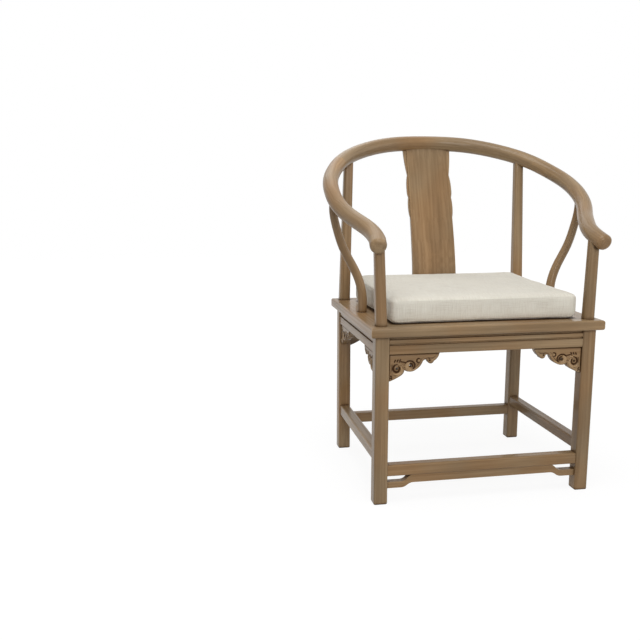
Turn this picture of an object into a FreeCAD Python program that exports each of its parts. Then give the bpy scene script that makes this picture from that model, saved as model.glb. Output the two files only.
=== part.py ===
import FreeCAD, Part
import math
import os
import Sketcher

# Horseshoe-back armchair on square legs, built from its real sub-parts.
# Lengths are millimetres. X runs to the right as seen from the front, Y to the back, Z up.
# Every length below stands once in the table and is bound or read from there.

doc = FreeCAD.newDocument("HorseshoeChair")
V = FreeCAD.Vector

SIZES = [
    ("leg_side", 35, "side of the square leg"),
    ("leg_edge", 5, "rounding of the upright leg edges"),
    ("foot_edge", 4, "rounding round the foot"),
    ("seat_overhang", 14, "seat frame beyond the outer faces of the legs"),
    ("seat_width", 600, "seat frame across"),
    ("seat_depth", 490, "seat frame front to back"),
    ("seat_top", 450, "top of the seat frame above the floor"),
    ("seat_frame_thick", 25, "thickness of the seat frame"),
    ("seat_rail_wide", 62, "width of each seat frame member"),
    ("seat_edge", 5.5, "rounding of the seat frame's outer edges"),
    ("mitre_tongue_long", 14, "length of the mitre tongue along the mitre"),
    ("mitre_tongue_deep", 18, "reach of the mitre tongue over both members"),
    ("mitre_tongue_thick", 6, "thickness of the mitre tongue"),
    ("mitre_tongue_rise", 2.5, "tongue above the frame's underside"),
    ("mitre_tongue_inset", 21.5, "tongue centre inward of the leg centre"),
    ("panel_tongue", 6, "reach of the panel tongue into the frame"),
    ("panel_groove_spare", 1, "room left in the groove for the panel to move"),
    ("panel_tongue_thick", 6, "thickness of the panel tongue"),
    ("panel_thick", 14, "thickness of the seat panel"),
    ("panel_sunk", 2, "panel top below the frame top"),
    ("joint_clearance", 0.1, "free room round a tenon"),
    ("batten_wide", 34, "width of the battens under the panel"),
    ("batten_high", 22, "height of the battens"),
    ("batten_spacing", 240, "batten to batten"),
    ("batten_tenon_thick", 6, "height of the batten tenon"),
    ("batten_tenon_long", 12, "reach of the batten tenon"),
    ("front_post_foot_side", 28, "front arm post at the seat"),
    ("front_post_foot_edge", 9, "its edge rounding at the seat"),
    ("front_post_top_side", 25, "front arm post at the rail"),
    ("front_post_top_edge", 8, "its edge rounding at the rail"),
    ("front_post_across_share", 0.8035, "its top, as a share of the rail's half width"),
    ("front_post_forward_share", 0.7433, "its top forward of the widest place, as a share of the reach"),
    ("front_post_drop_share", 0.9575, "its top below the back of the rail, as a share of the drop"),
    ("rear_post_foot_side", 31, "back post at the seat"),
    ("rear_post_foot_edge", 8, "its edge rounding at the seat"),
    ("rear_post_top_side", 25, "back post at the rail"),
    ("rear_post_top_edge", 7, "its edge rounding at the rail"),
    ("rear_post_across_share", 0.7482, "its top, as a share of the rail's half width"),
    ("rear_post_back_share", 0.67, "its top behind the widest place, as a share of the reach"),
    ("rear_post_drop_share", 0.1853, "its top below the back of the rail, as a share of the drop"),
    ("waist_high", 22, "height of the waist strip under the seat frame"),
    ("waist_thick", 12, "thickness of the waist strip"),
    ("waist_back", 6, "waist strip behind the leg face"),
    ("waist_bead_high", 11, "height of the bead on the waist strip"),
    ("waist_bead_out", 2.5, "bead in front of the strip"),
    ("waist_bead_low", 3.5, "bead above the strip's foot"),
    ("waist_bead_round", 2.4, "rounding of the bead"),
    ("waist_tenon_high", 12, "height of the waist tenon"),
    ("waist_tenon_thick", 6, "thickness of the waist tenon"),
    ("waist_tenon_long", 6, "reach of the waist tenon"),
    ("apron_high", 22, "height of the apron rail"),
    ("apron_thick", 24, "thickness of the apron rail"),
    ("apron_back", 2.5, "apron rail behind the leg face"),
    ("apron_edge", 2, "rounding of the apron rail's edges"),
    ("apron_tenon_high", 14, "height of the apron tenon"),
    ("apron_tenon_thick", 9, "thickness of the apron tenon"),
    ("apron_tenon_long", 14, "reach of the apron tenon"),
    ("spandrel_wide", 129, "carved spandrel along the apron, front and rear"),
    ("spandrel_high", 69, "carved spandrel down the leg, front and rear"),
    ("side_spandrel_wide", 108, "side spandrel along the apron"),
    ("side_spandrel_high", 62, "side spandrel down the leg"),
    ("spandrel_thick", 14, "thickness of the spandrels"),
    ("spandrel_back", 8, "spandrel behind the leg face"),
    ("spandrel_tongue_thick", 5, "thickness of the spandrel tongue"),
    ("spandrel_tongue_high", 5, "reach of the spandrel tongue into the apron"),
    ("spandrel_tongue_share", 0.7, "length of the spandrel tongue, as a share of the spandrel's width"),
    ("scroll_hole", 3.6, "radius of the hole through the far scroll"),
    ("volute_hole", 3.2, "radius of the hole through the scroll by the leg"),
    ("stretcher_high", 29, "height of the stretchers"),
    ("stretcher_thick", 28, "thickness of the stretchers"),
    ("stretcher_back", 4, "stretchers behind the leg face"),
    ("stretcher_edge", 4.5, "rounding of the stretcher edges"),
    ("stretcher_tenon_high", 18, "height of the stretcher tenon"),
    ("stretcher_tenon_thick", 9, "thickness of the stretcher tenon"),
    ("stretcher_tenon_long", 14, "reach of the stretcher tenon"),
    ("front_stretcher_mid", 85.5, "centre height of the foot rest"),
    ("rear_stretcher_mid", 91, "centre height of the rear stretcher"),
    ("side_stretcher_mid", 119.5, "centre height of the side stretchers"),
    ("humpback_high", 20, "height of the humpback stretcher in the middle"),
    ("humpback_end_high", 16, "its height at the legs"),
    ("humpback_thick", 18, "thickness of the humpback stretcher"),
    ("humpback_back", 8, "humpback stretcher behind the leg face"),
    ("humpback_step", 11.5, "rise of its lower edge from the legs to the middle"),
    ("humpback_bend_outer", 36, "first bend inward of the leg"),
    ("humpback_bend_inner", 68, "second bend inward of the leg"),
    ("humpback_tenon_long", 12, "reach of its tenons"),
    ("humpback_tenon_high", 11, "height of its tenons"),
    ("humpback_tenon_thick", 8, "thickness of its tenons"),
    ("crest_round", 22, "radius of the crest rail at the back"),
    ("handle_round", 20.4, "radius of the hand grip"),
    ("grip_end_round", 10, "rounding of the blunt end of the grip"),
    ("crest_overhang", 43.5, "crest rail centre line beyond the seat frame, at its widest"),
    ("crest_back_overhang", 70, "crest rail centre line behind the seat frame"),
    ("crest_widest_y", 15, "widest place behind the seat centre"),
    ("crest_rise", 452, "crest rail centre line at the back, above the seat frame"),
    ("crest_drop", 261, "back of the centre line down to the hand grip"),
    ("scarf_half_long", 24, "half the length of the lapped joint"),
    ("scarf_reach", 60, "room for the lap round the rail"),
    ("pin_side", 6, "side of the square locking pin"),
    ("pin_long", 26, "length of the locking pin"),
    ("side_post_foot", 12.5, "radius of the curved side post at the seat"),
    ("side_post_top", 10.2, "radius of the curved side post at the rail"),
    ("side_post_inset", 33, "side post inward of the seat frame's edge"),
    ("side_post_foot_y", 8, "side post at the seat, forward"),
    ("side_post_beyond", 1, "top of the side post beyond the rail's centre line"),
    ("side_post_top_forward", 10, "top of the side post forward of the rail's widest place"),
    ("side_post_drop_share", 0.5714, "its top below the back of the rail, as a share of the drop"),
    ("post_housing", 12, "posts housed in the seat frame"),
    ("splat_wide_foot", 133, "back splat at the seat"),
    ("splat_wide_top", 124, "back splat at the rail"),
    ("splat_thick", 11, "thickness of the splat"),
    ("splat_short", 9, "end of the splat below the rail's centre line"),
    ("splat_inset", 42, "splat inward of the seat frame's rear edge"),
    ("splat_top_inset", 5, "top of the splat forward of the rail's centre line"),
    ("wing_thick", 6.5, "thickness of the wing strips"),
    ("wing_wide", 10.5, "wing strip at its widest"),
    ("wing_long", 211, "length of the wing strips"),
    ("cushion_margin_side", 52, "seat frame beside the cushion"),
    ("cushion_margin", 43, "seat frame before and behind the cushion, on average"),
    ("cushion_high", 67, "height of the cushion's crown over its front edge's foot"),
    ("cushion_slope", 12, "rise of the cushion's top from front to back"),
    ("cushion_forward", 12, "cushion centre forward of the seat centre"),
    ("cushion_corner", 16, "rounding of the cushion corners in plan"),
    ("cushion_pull", 3, "pull of the cushion's sides inward between its corners"),
    ("cushion_rest_gap", 0.3, "free room between cushion and seat"),
    ("cover_thick", 1.5, "thickness of the cushion cover"),
    ("foam_gap", 0.3, "free room between foam and cover"),
]

# Sizes that follow from the ones above.
DERIVED = [
    ("leg_span_x", "seat_width - 2 * seat_overhang - leg_side", "leg centre to leg centre, across"),
    ("leg_span_y", "seat_depth - 2 * seat_overhang - leg_side", "leg centre to leg centre, front to back"),
    ("crest_half_wide", "seat_width / 2 + crest_overhang", "rail centre line, half its width"),
    ("crest_reach_back", "seat_depth / 2 + crest_back_overhang - crest_widest_y", "its reach back"),
    ("crest_top_z", "seat_top + crest_rise", "rail centre line at the back"),
    ("front_post_top_x", "crest_half_wide * front_post_across_share", "front post at the rail, sideways"),
    ("front_post_top_y", "crest_reach_back * front_post_forward_share - crest_widest_y", "and forward"),
    ("front_post_top_z", "crest_top_z - crest_drop * front_post_drop_share", "its end inside the rail"),
    ("rear_post_top_x", "crest_half_wide * rear_post_across_share", "back post at the rail, sideways"),
    ("rear_post_top_y", "crest_reach_back * rear_post_back_share + crest_widest_y", "the same, backward"),
    ("rear_post_top_z", "crest_top_z - crest_drop * rear_post_drop_share", "its end inside the rail"),
    ("side_post_foot_x", "seat_width / 2 - side_post_inset", "side post at the seat, sideways"),
    ("side_post_reach", "crest_half_wide + side_post_beyond - side_post_foot_x", "its swing outward"),
    ("side_post_lean", "crest_widest_y - side_post_top_forward + side_post_foot_y", "its swing backward"),
    ("side_post_top_z", "crest_top_z - crest_drop * side_post_drop_share", "its end inside the rail"),
    ("splat_top_z", "crest_top_z - splat_short", "end of the splat inside the rail"),
    ("splat_foot_y", "seat_depth / 2 - splat_inset", "splat behind the seat centre, at the seat"),
    ("splat_sweep", "crest_widest_y + crest_reach_back - splat_top_inset - splat_foot_y", "its sweep"),
    ("cushion_wide", "seat_width - 2 * cushion_margin_side", "cushion across"),
    ("cushion_deep", "seat_depth - 2 * cushion_margin", "cushion front to back"),
]

# Outline of a spandrel as shares of its width (from the leg) and its height (from the apron).
# Each row is an end point and the point half way along its arc; a straight run has no half-way point.
SPANDREL_START_SHARE = (0.0, 0.985)
SPANDREL_SHARES = [
    ((0.232, 0.785), (0.112, 0.905)),
    ((0.301, 0.592), (0.280, 0.700)),
    ((0.515, 0.597), (0.405, 0.650)),
    ((0.659, 0.298), (0.606, 0.470)),
    ((0.752, 0.264), (0.705, 0.238)),
    ((0.876, 0.300), (0.806, 0.388)),
    ((0.985, 0.040), (0.955, 0.165)),
]
SCROLL_HOLE_SHARE = (0.414, 0.440)
VOLUTE_HOLE_SHARE = (0.150, 0.520)

# Crest rail centre line: shares of its half width, of its reach to the back and of its drop.
CREST_SHARES = [
    (0.0000, 1.0000, 0.0000),
    (0.1659, 0.9861, 0.0035),
    (0.3290, 0.9443, 0.0195),
    (0.4803, 0.8771, 0.0525),
    (0.6201, 0.7845, 0.1004),
    (0.7424, 0.6700, 0.1602),
    (0.8443, 0.5359, 0.2355),
    (0.9258, 0.3780, 0.3282),
    (0.9820, 0.1940, 0.4290),
    (1.0000, 0.0000, 0.5444),
    (0.9782, -0.1767, 0.6641),
    (0.9170, -0.3367, 0.7622),
    (0.8559, -0.5033, 0.8340),
    (0.8205, -0.6500, 0.9000),
    (0.8181, -0.7530, 0.9440),
    (0.8300, -0.8430, 0.9850),
]
# Steps in which the blunt end of the hand grip is rounded.
GRIP_STEPS = 6
# Radius of the rail section by direction, as a share: a soft ridge above the middle, inside and outside.
RAIL_SECTION_SHARES = [
    1.000,
    1.012,
    0.990,
    0.985,
    0.990,
    1.012,
    1.000,
    0.985,
    0.985,
    0.990,
    0.985,
    0.985,
]
# An edge counts as straight along an axis when it leaves the axis by less than this share of its run.
STRAIGHT_SHARE = 0.0001

# Side post centre line: shares of its height, of its outward swing and of its backward swing.
SIDE_POST_SHARES = [
    (0.0000, 0.0000, 0.0000),
    (0.1656, 0.0060, 0.2300),
    (0.3642, 0.2450, 0.6150),
    (0.5629, 0.6520, 0.8460),
    (0.7616, 0.9030, 1.0000),
    (1.0000, 1.0000, 1.0000),
]
# Splat seen from the side: shares of the rail's rise and of the sweep; the ends run on into the joints.
SPLAT_SHARES = [
    (-0.060, 0.018),
    (0.000, 0.000),
    (0.111, -0.037),
    (0.244, 0.028),
    (0.382, 0.168),
    (0.573, 0.411),
    (0.764, 0.682),
    (0.964, 0.963),
    (1.020, 1.040),
]
# Wing strip: shares of its length from the top and of its greatest width; each arc's end and half-way point.
WING_START_SHARE = (0.0, 1.0)
WING_SHARES = [
    ((0.403, 0.13), (0.215, 0.70)),
    ((0.600, 0.50), (0.480, 0.40)),
    ((0.711, 0.22), (0.665, 0.45)),
    ((0.950, 0.24), (0.830, 0.42)),
]
# Cushion sections: share of the height and how far the edge is drawn in, as a share of the height.
CUSHION_SHARES = [
    (0.00, 0.070),
    (0.03, 0.028),
    (0.09, 0.000),
    (0.80, 0.000),
    (0.855, 0.012),
    (0.895, 0.050),
    (0.925, 0.130),
    (0.945, 0.300),
    (0.965, 0.700),
    (0.985, 1.500),
    (1.00, 2.500),
]

sheet = doc.addObject("Spreadsheet::Sheet", "Sizes")
for index, (name, value, note) in enumerate(SIZES + DERIVED):
    row = str(index + 1)
    sheet.set("A" + row, name)
    sheet.set("B" + row, str(value) if index < len(SIZES) else "=" + value)
    sheet.set("C" + row, note)
    sheet.setAlias("B" + row, name)
doc.recompute()

ALIASES = sorted((entry[0] for entry in SIZES + DERIVED), key=len, reverse=True)


def size(name):
    return float(sheet.get(name))


def words(text):
    """Puts the sheet's name in front of every size named in an expression."""
    parts = []
    word = ""
    for letter in text + " ":
        if letter.isalnum() or letter == "_":
            word = word + letter
            continue
        parts.append("Sizes." + word if word in ALIASES else word)
        parts.append(letter)
        word = ""
    return "".join(parts).strip()


def bind(thing, prop, text):
    thing.setExpression(prop, words(text))


def place(thing, x="0", y="0", z="0"):
    for axis, text in (("x", x), ("y", y), ("z", z)):
        if text != "0":
            bind(thing, "Placement.Base." + axis, "1 mm * (" + text + ")")


def turned(thing, angle):
    thing.Placement = FreeCAD.Placement(V(0, 0, 0), FreeCAD.Rotation(V(0, 0, 1), angle))


def origin_plane(body, role):
    return [item for item in body.Origin.OriginFeatures if item.Role == role][0]


def new_sketch(body, name, role, offset=None):
    sketch = body.newObject("Sketcher::SketchObject", name)
    sketch.AttachmentSupport = [(origin_plane(body, role), "")]
    sketch.MapMode = "FlatFace"
    if offset is not None:
        for axis, text in zip("xyz", offset):
            if text != "0":
                bind(sketch, "AttachmentOffset.Base." + axis, "1 mm * (" + text + ")")
    return sketch


def rectangle(body, name, role, across, deep, offset=None):
    """A rectangle centred on the sketch origin."""
    sketch = new_sketch(body, name, role, offset)
    corners = [V(-1, -1, 0), V(1, -1, 0), V(1, 1, 0), V(-1, 1, 0)]
    for k in range(4):
        sketch.addGeometry(Part.LineSegment(corners[k], corners[(k + 1) % 4]), False)
    for k in range(4):
        sketch.addConstraint(Sketcher.Constraint("Coincident", k, 2, (k + 1) % 4, 1))
    for k in (0, 2):
        sketch.addConstraint(Sketcher.Constraint("Horizontal", k))
    for k in (1, 3):
        sketch.addConstraint(Sketcher.Constraint("Vertical", k))
    sketch.addConstraint(Sketcher.Constraint("Symmetric", 0, 1, 1, 2, -1, 1))
    item = sketch.addConstraint(Sketcher.Constraint("DistanceX", 0, 1, 0, 2, 2))
    sketch.renameConstraint(item, "across")
    item = sketch.addConstraint(Sketcher.Constraint("DistanceY", 1, 1, 1, 2, 2))
    sketch.renameConstraint(item, "deep")
    bind(sketch, "Constraints.across", "1 mm * (" + across + ")")
    bind(sketch, "Constraints.deep", "1 mm * (" + deep + ")")
    return sketch


def rounded_square(body, name, role, side, edge, offset):
    """A square with rounded corners, centred on the sketch origin."""
    sketch = new_sketch(body, name, role, offset)
    half = size(side) / 2
    core = half - size(edge)
    lines = [
        (V(-core, -half, 0), V(core, -half, 0)),
        (V(half, -core, 0), V(half, core, 0)),
        (V(core, half, 0), V(-core, half, 0)),
        (V(-half, core, 0), V(-half, -core, 0)),
    ]
    for start, end in lines:
        sketch.addGeometry(Part.LineSegment(start, end), False)
    centres = [V(core, -core, 0), V(core, core, 0), V(-core, core, 0), V(-core, -core, 0)]
    for k, centre in enumerate(centres):
        circle = Part.Circle(centre, V(0, 0, 1), half - core)
        arc = Part.ArcOfCircle(circle, math.radians(90 * k - 90), math.radians(90 * k))
        sketch.addGeometry(arc, False)
    for k in range(4):
        sketch.addConstraint(Sketcher.Constraint("Tangent", k, 2, 4 + k, 1))
        sketch.addConstraint(Sketcher.Constraint("Tangent", 4 + k, 2, (k + 1) % 4, 1))
    for k in (0, 2):
        sketch.addConstraint(Sketcher.Constraint("Horizontal", k))
    for k in (1, 3):
        sketch.addConstraint(Sketcher.Constraint("Vertical", k))
    for k in (5, 6, 7):
        sketch.addConstraint(Sketcher.Constraint("Equal", 4, k))
    sketch.addConstraint(Sketcher.Constraint("Symmetric", 4, 3, 6, 3, -1, 1))
    item = sketch.addConstraint(Sketcher.Constraint("Radius", 4, half - core))
    sketch.renameConstraint(item, "edge")
    item = sketch.addConstraint(Sketcher.Constraint("DistanceX", 3, 1, 1, 1, 2 * half))
    sketch.renameConstraint(item, "across")
    item = sketch.addConstraint(Sketcher.Constraint("DistanceY", 0, 1, 2, 1, 2 * half))
    sketch.renameConstraint(item, "deep")
    bind(sketch, "Constraints.edge", "1 mm * " + edge)
    bind(sketch, "Constraints.across", "1 mm * " + side)
    bind(sketch, "Constraints.deep", "1 mm * " + side)
    return sketch


def outline(body, name, role, start, runs, closing):
    """An outline through points: each run is (end, half-way point or None), then straight closing runs."""
    sketch = new_sketch(body, name, role)
    here = start
    for end, middle in list(runs) + [(point, None) for point in closing]:
        if middle is None:
            sketch.addGeometry(Part.LineSegment(here, end), False)
        else:
            sketch.addGeometry(Part.Arc(here, middle, end), False)
        here = end
    return sketch


def pad(body, name, sketch, length, symmetric=True):
    feature = body.newObject("PartDesign::Pad", name)
    feature.Profile = sketch
    if symmetric:
        feature.SideType = "Symmetric"
    bind(feature, "Length", "1 mm * (" + length + ")")
    sketch.Visibility = False
    doc.recompute()
    return feature


def edges(shape, test):
    """Names of the edges whose middle and direction pass a test."""
    found = []
    for index, edge in enumerate(shape.Edges):
        first = edge.firstVertex().Point
        last = edge.lastVertex().Point
        run = last - first
        middle = edge.valueAt((edge.FirstParameter + edge.LastParameter) / 2)
        if test(run, middle):
            found.append("Edge" + str(index + 1))
    return found


def fillet(body, name, base, names, radius):
    feature = body.newObject("PartDesign::Fillet", name)
    feature.Base = (base, names)
    bind(feature, "Radius", "1 mm * " + radius)
    doc.recompute()
    return feature


def along(axis):
    """Edges that run straight along one axis."""
    def test(run, middle):
        values = [abs(run.x), abs(run.y), abs(run.z)]
        main = values.pop("xyz".index(axis))
        return main > 0 and sum(values) < main * STRAIGHT_SHARE
    return test


def box(name, length, width, height, x, y, z, angle=0):
    """A block centred on x, y and z."""
    block = doc.addObject("Part::Box", name)
    bind(block, "Length", "1 mm * (" + length + ")")
    bind(block, "Width", "1 mm * (" + width + ")")
    bind(block, "Height", "1 mm * (" + height + ")")
    if angle:
        doc.recompute()
        turn = FreeCAD.Rotation(V(0, 0, 1), angle)
        corner = turn.multVec(V(-block.Length.Value / 2, -block.Width.Value / 2, 0))
        block.Placement = FreeCAD.Placement(corner, turn)
        doc.recompute()
        moved = doc.addObject("Part::Compound", name + "_set")
        moved.Links = [block]
        place(moved, x, y, "(" + z + ") - (" + height + ") / 2")
        return moved
    place(
        block,
        "(" + x + ") - (" + length + ") / 2",
        "(" + y + ") - (" + width + ") / 2",
        "(" + z + ") - (" + height + ") / 2",
    )
    return block


def computed(name, shape):
    item = doc.addObject("Part::Feature", name)
    item.Shape = shape
    return item


def cut(name, base, tools):
    """The base with every tool taken out of it."""
    if len(tools) == 1:
        tool = tools[0]
    else:
        tool = doc.addObject("Part::MultiFuse", name + "_tools")
        tool.Shapes = tools
    result = doc.addObject("Part::Cut", name)
    result.Base = base
    result.Tool = tool
    doc.recompute()
    return result


def fuse(name, shapes):
    result = doc.addObject("Part::MultiFuse", name)
    result.Shapes = shapes
    result.Refine = True
    doc.recompute()
    return result


def common(name, first, second):
    result = doc.addObject("Part::MultiCommon", name)
    result.Shapes = [first, second]
    doc.recompute()
    return result


def mirrored(name, source, normal):
    result = doc.addObject("Part::Mirroring", name)
    result.Source = source
    result.Normal = normal
    result.Base = V(0, 0, 0)
    return result


RIGHTWARD = V(1, 0, 0)
BACKWARD = V(0, 1, 0)

NODES = []


def node(name, item):
    """Keeps a finished sub-part under its own name."""
    NODES.append((name, item))


def pair(left, right, item):
    """Keeps a right-hand sub-part and its mirror image."""
    node(right, item)
    node(left, mirrored(left + "_mirror", item, RIGHTWARD))


# Heights that follow from the seat frame downward.
FRAME_LOW = "seat_top - seat_frame_thick"
WAIST_MID = FRAME_LOW + " - waist_high / 2"
APRON_TOP = FRAME_LOW + " - waist_high"
APRON_MID = APRON_TOP + " - apron_high / 2"
APRON_LOW = APRON_TOP + " - apron_high"
LEG_GAP_X = "leg_span_x - leg_side"
LEG_GAP_Y = "leg_span_y - leg_side"
LEG_FACE_X = "(leg_span_x + leg_side) / 2"
LEG_FACE_Y = "(leg_span_y + leg_side) / 2"


def leg(name, forward, post):
    """Square leg running on above the seat as a rounded, leaning post."""
    body = doc.addObject("PartDesign::Body", name)
    foot = rectangle(body, name + "_section", "XY_Plane", "leg_side", "leg_side")
    shaft = pad(body, name + "_shaft", foot, FRAME_LOW, False)
    shaft = fillet(body, name + "_edges", shaft, edges(shaft.Shape, along("z")), "leg_edge")

    def at_floor(run, middle):
        return abs(middle.z) < size("foot_edge") / 10

    shaft = fillet(body, name + "_foot", shaft, edges(shaft.Shape, at_floor), "foot_edge")
    sign = "-" if forward else ""
    low = rounded_square(
        body, name + "_post_low", "XY_Plane", post + "_foot_side", post + "_foot_edge",
        ("0", "0", FRAME_LOW))
    high = rounded_square(
        body, name + "_post_high", "XY_Plane", post + "_top_side", post + "_top_edge",
        (
            post + "_top_x - leg_span_x / 2",
            sign + "(" + post + "_top_y - leg_span_y / 2)",
            post + "_top_z",
        ))
    loft = body.newObject("PartDesign::AdditiveLoft", name + "_post")
    loft.Profile = low
    loft.Sections = [high]
    loft.Ruled = True
    doc.recompute()
    place(body, "leg_span_x / 2", sign + "leg_span_y / 2")
    doc.recompute()
    return body


def bar(name, axis, length, thick, high, edge, tenon, x, y, z):
    """A straight member with a tenon at each end, and the block that cuts its mortises."""
    body = doc.addObject("PartDesign::Body", name + "_body")
    role = "YZ_Plane" if axis == "x" else "XZ_Plane"
    section = rectangle(body, name + "_section", role, thick, high)
    feature = pad(body, name + "_length", section, length)
    if edge:
        feature = fillet(body, name + "_edges", feature, edges(feature.Shape, along(axis)), edge)
    reach, tenon_thick, tenon_high = tenon
    inner = rectangle(body, name + "_tenon_section", role, tenon_thick, tenon_high)
    pad(body, name + "_tenons", inner, length + " + 2 * " + reach)
    place(body, x, y, z)
    room = " + 2 * joint_clearance"
    run = length + " + 2 * " + reach + " + 4 * joint_clearance"
    across = tenon_thick + room
    sizes = (run, across) if axis == "x" else (across, run)
    mortise = box(name + "_mortise", sizes[0], sizes[1], tenon_high + room, x, y, z)
    doc.recompute()
    return body, mortise


# Legs with their posts, still without mortises.
front_leg = leg("front_leg_body", True, "front_post")
rear_leg = leg("rear_leg_body", False, "rear_post")

# Straight members between the legs.
APRON_TENON = ("apron_tenon_long", "apron_tenon_thick", "apron_tenon_high")
APRON_Y = LEG_FACE_Y + " - apron_back - apron_thick / 2"
APRON_X = LEG_FACE_X + " - apron_back - apron_thick / 2"
apron_front, apron_front_mortise = bar(
    "apron_front", "x", LEG_GAP_X, "apron_thick", "apron_high", "apron_edge",
    APRON_TENON, "0", "-(" + APRON_Y + ")", APRON_MID)
apron_rear, apron_rear_mortise = bar(
    "apron_rear", "x", LEG_GAP_X, "apron_thick", "apron_high", "apron_edge",
    APRON_TENON, "0", APRON_Y, APRON_MID)
apron_side, apron_side_mortise = bar(
    "apron_side", "y", LEG_GAP_Y, "apron_thick", "apron_high", "apron_edge",
    APRON_TENON, APRON_X, "0", APRON_MID)

STRETCHER_TENON = ("stretcher_tenon_long", "stretcher_tenon_thick", "stretcher_tenon_high")
STRETCHER_Y = LEG_FACE_Y + " - stretcher_back - stretcher_thick / 2"
STRETCHER_X = LEG_FACE_X + " - stretcher_back - stretcher_thick / 2"
footrest, footrest_mortise = bar(
    "footrest", "x", LEG_GAP_X, "stretcher_thick", "stretcher_high", "stretcher_edge",
    STRETCHER_TENON, "0", "-(" + STRETCHER_Y + ")", "front_stretcher_mid")
rear_stretcher, rear_stretcher_mortise = bar(
    "rear_stretcher", "x", LEG_GAP_X, "stretcher_thick", "stretcher_high", "stretcher_edge",
    STRETCHER_TENON, "0", STRETCHER_Y, "rear_stretcher_mid")
side_stretcher, side_stretcher_mortise = bar(
    "side_stretcher", "y", LEG_GAP_Y, "stretcher_thick", "stretcher_high", "stretcher_edge",
    STRETCHER_TENON, STRETCHER_X, "0", "side_stretcher_mid")

WAIST_TENON = ("waist_tenon_long", "waist_tenon_thick", "waist_tenon_high")


def waist(name, axis, length, x, y, out_x, out_y):
    """A waist strip: the straight member plus a rounded bead along its outer face."""
    strip, mortise = bar(
        name, axis, length, "waist_thick", "waist_high", "", WAIST_TENON, x, y, WAIST_MID)
    bead = doc.addObject("PartDesign::Body", name + "_bead")
    role = "YZ_Plane" if axis == "x" else "XZ_Plane"
    section = rectangle(bead, name + "_bead_section", role, "2 * waist_bead_out", "waist_bead_high")
    feature = pad(bead, name + "_bead_length", section, length)
    fillet(bead, name + "_bead_round", feature, edges(feature.Shape, along(axis)), "waist_bead_round")
    height = FRAME_LOW + " - waist_high + waist_bead_low + waist_bead_high / 2"
    place(bead, x + out_x, y + out_y, height)
    doc.recompute()
    return fuse(name + "_moulded", [strip, bead]), mortise


WAIST_Y = LEG_FACE_Y + " - waist_back - waist_thick / 2"
WAIST_X = LEG_FACE_X + " - waist_back - waist_thick / 2"
waist_front, waist_front_mortise = waist(
    "waist_front", "x", LEG_GAP_X, "0", "-(" + WAIST_Y + ")", "", " - waist_thick / 2")
waist_rear, waist_rear_mortise = waist(
    "waist_rear", "x", LEG_GAP_X, "0", WAIST_Y, "", " + waist_thick / 2")
waist_side, waist_side_mortise = waist(
    "waist_side", "y", LEG_GAP_Y, WAIST_X, "0", " + waist_thick / 2", "")

# Humpback stretcher, low at the legs and raised in the middle to meet the foot rest.
half_gap = (size("leg_span_x") - size("leg_side")) / 2
hump_top = size("front_stretcher_mid") - size("stretcher_high") / 2
hump_low = hump_top - size("humpback_high") - size("humpback_step")
bend_outer = half_gap - size("humpback_bend_outer")
bend_inner = half_gap - size("humpback_bend_inner")


def double_bend(start, end):
    """Two arcs, flat at both ends, joining two levels."""
    middle = (start + end) / 2
    run = middle.x - start.x
    rise = middle.y - start.y
    radius = (run * run + rise * rise) / (2 * abs(rise))
    angle = math.asin(abs(run) / radius) / 2
    side = math.copysign(radius * math.sin(angle), run)
    up = math.copysign(radius * (1 - math.cos(angle)), rise)
    return [(middle, V(start.x + side, start.y + up, 0)), (end, V(end.x - side, end.y - up, 0))]


def hump_edge(outer, inner):
    """One long edge of the humpback stretcher, by its height at the legs and in the middle."""
    points = [
        V(half_gap, outer, 0),
        V(bend_outer, outer, 0),
        V(bend_inner, inner, 0),
        V(-bend_inner, inner, 0),
        V(-bend_outer, outer, 0),
        V(-half_gap, outer, 0),
    ]
    runs = [(points[1], None)]
    runs = runs + double_bend(points[1], points[2])
    runs.append((points[3], None))
    runs = runs + double_bend(points[3], points[4])
    runs.append((points[5], None))
    return points[0], runs


hump_start, upper_runs = hump_edge(hump_low + size("humpback_end_high"), hump_top)
hump_turn, lower_runs = hump_edge(hump_low, hump_top - size("humpback_high"))
ends = [hump_turn] + [run[0] for run in lower_runs]
back_runs = []
for k in range(len(lower_runs) - 1, -1, -1):
    back_runs.append((ends[k], lower_runs[k][1]))
humpback_body = doc.addObject("PartDesign::Body", "humpback_body")
hump_sketch = outline(
    humpback_body, "humpback_outline", "XZ_Plane", hump_start,
    upper_runs + [(ends[-1], None)] + back_runs, [hump_start])
pad(humpback_body, "humpback_thickness", hump_sketch, "humpback_thick")
HUMP_Y = "-(" + LEG_FACE_Y + " - humpback_back - humpback_thick / 2)"
HUMP_FOOT = "front_stretcher_mid - stretcher_high / 2 - humpback_high - humpback_step"
HUMP_Z = HUMP_FOOT + " + humpback_end_high / 2"
place(humpback_body, "0", HUMP_Y)
hump_tenons = []
for tag, sign in (("right", ""), ("left", "-")):
    hump_tenons.append(box(
        "humpback_tenon_" + tag, "2 * humpback_tenon_long", "humpback_tenon_thick",
        "humpback_tenon_high", sign + "(" + LEG_GAP_X + ") / 2", HUMP_Y, HUMP_Z))
humpback = fuse("humpback_whole", [humpback_body] + hump_tenons)
humpback_mortise = box(
    "humpback_mortise", LEG_GAP_X + " + 2 * humpback_tenon_long + 4 * joint_clearance",
    "humpback_tenon_thick + 2 * joint_clearance", "humpback_tenon_high + 2 * joint_clearance",
    "0", HUMP_Y, HUMP_Z)

# Carved spandrels: one outline, cut for the front and rear and again, smaller, for the sides.


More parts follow.
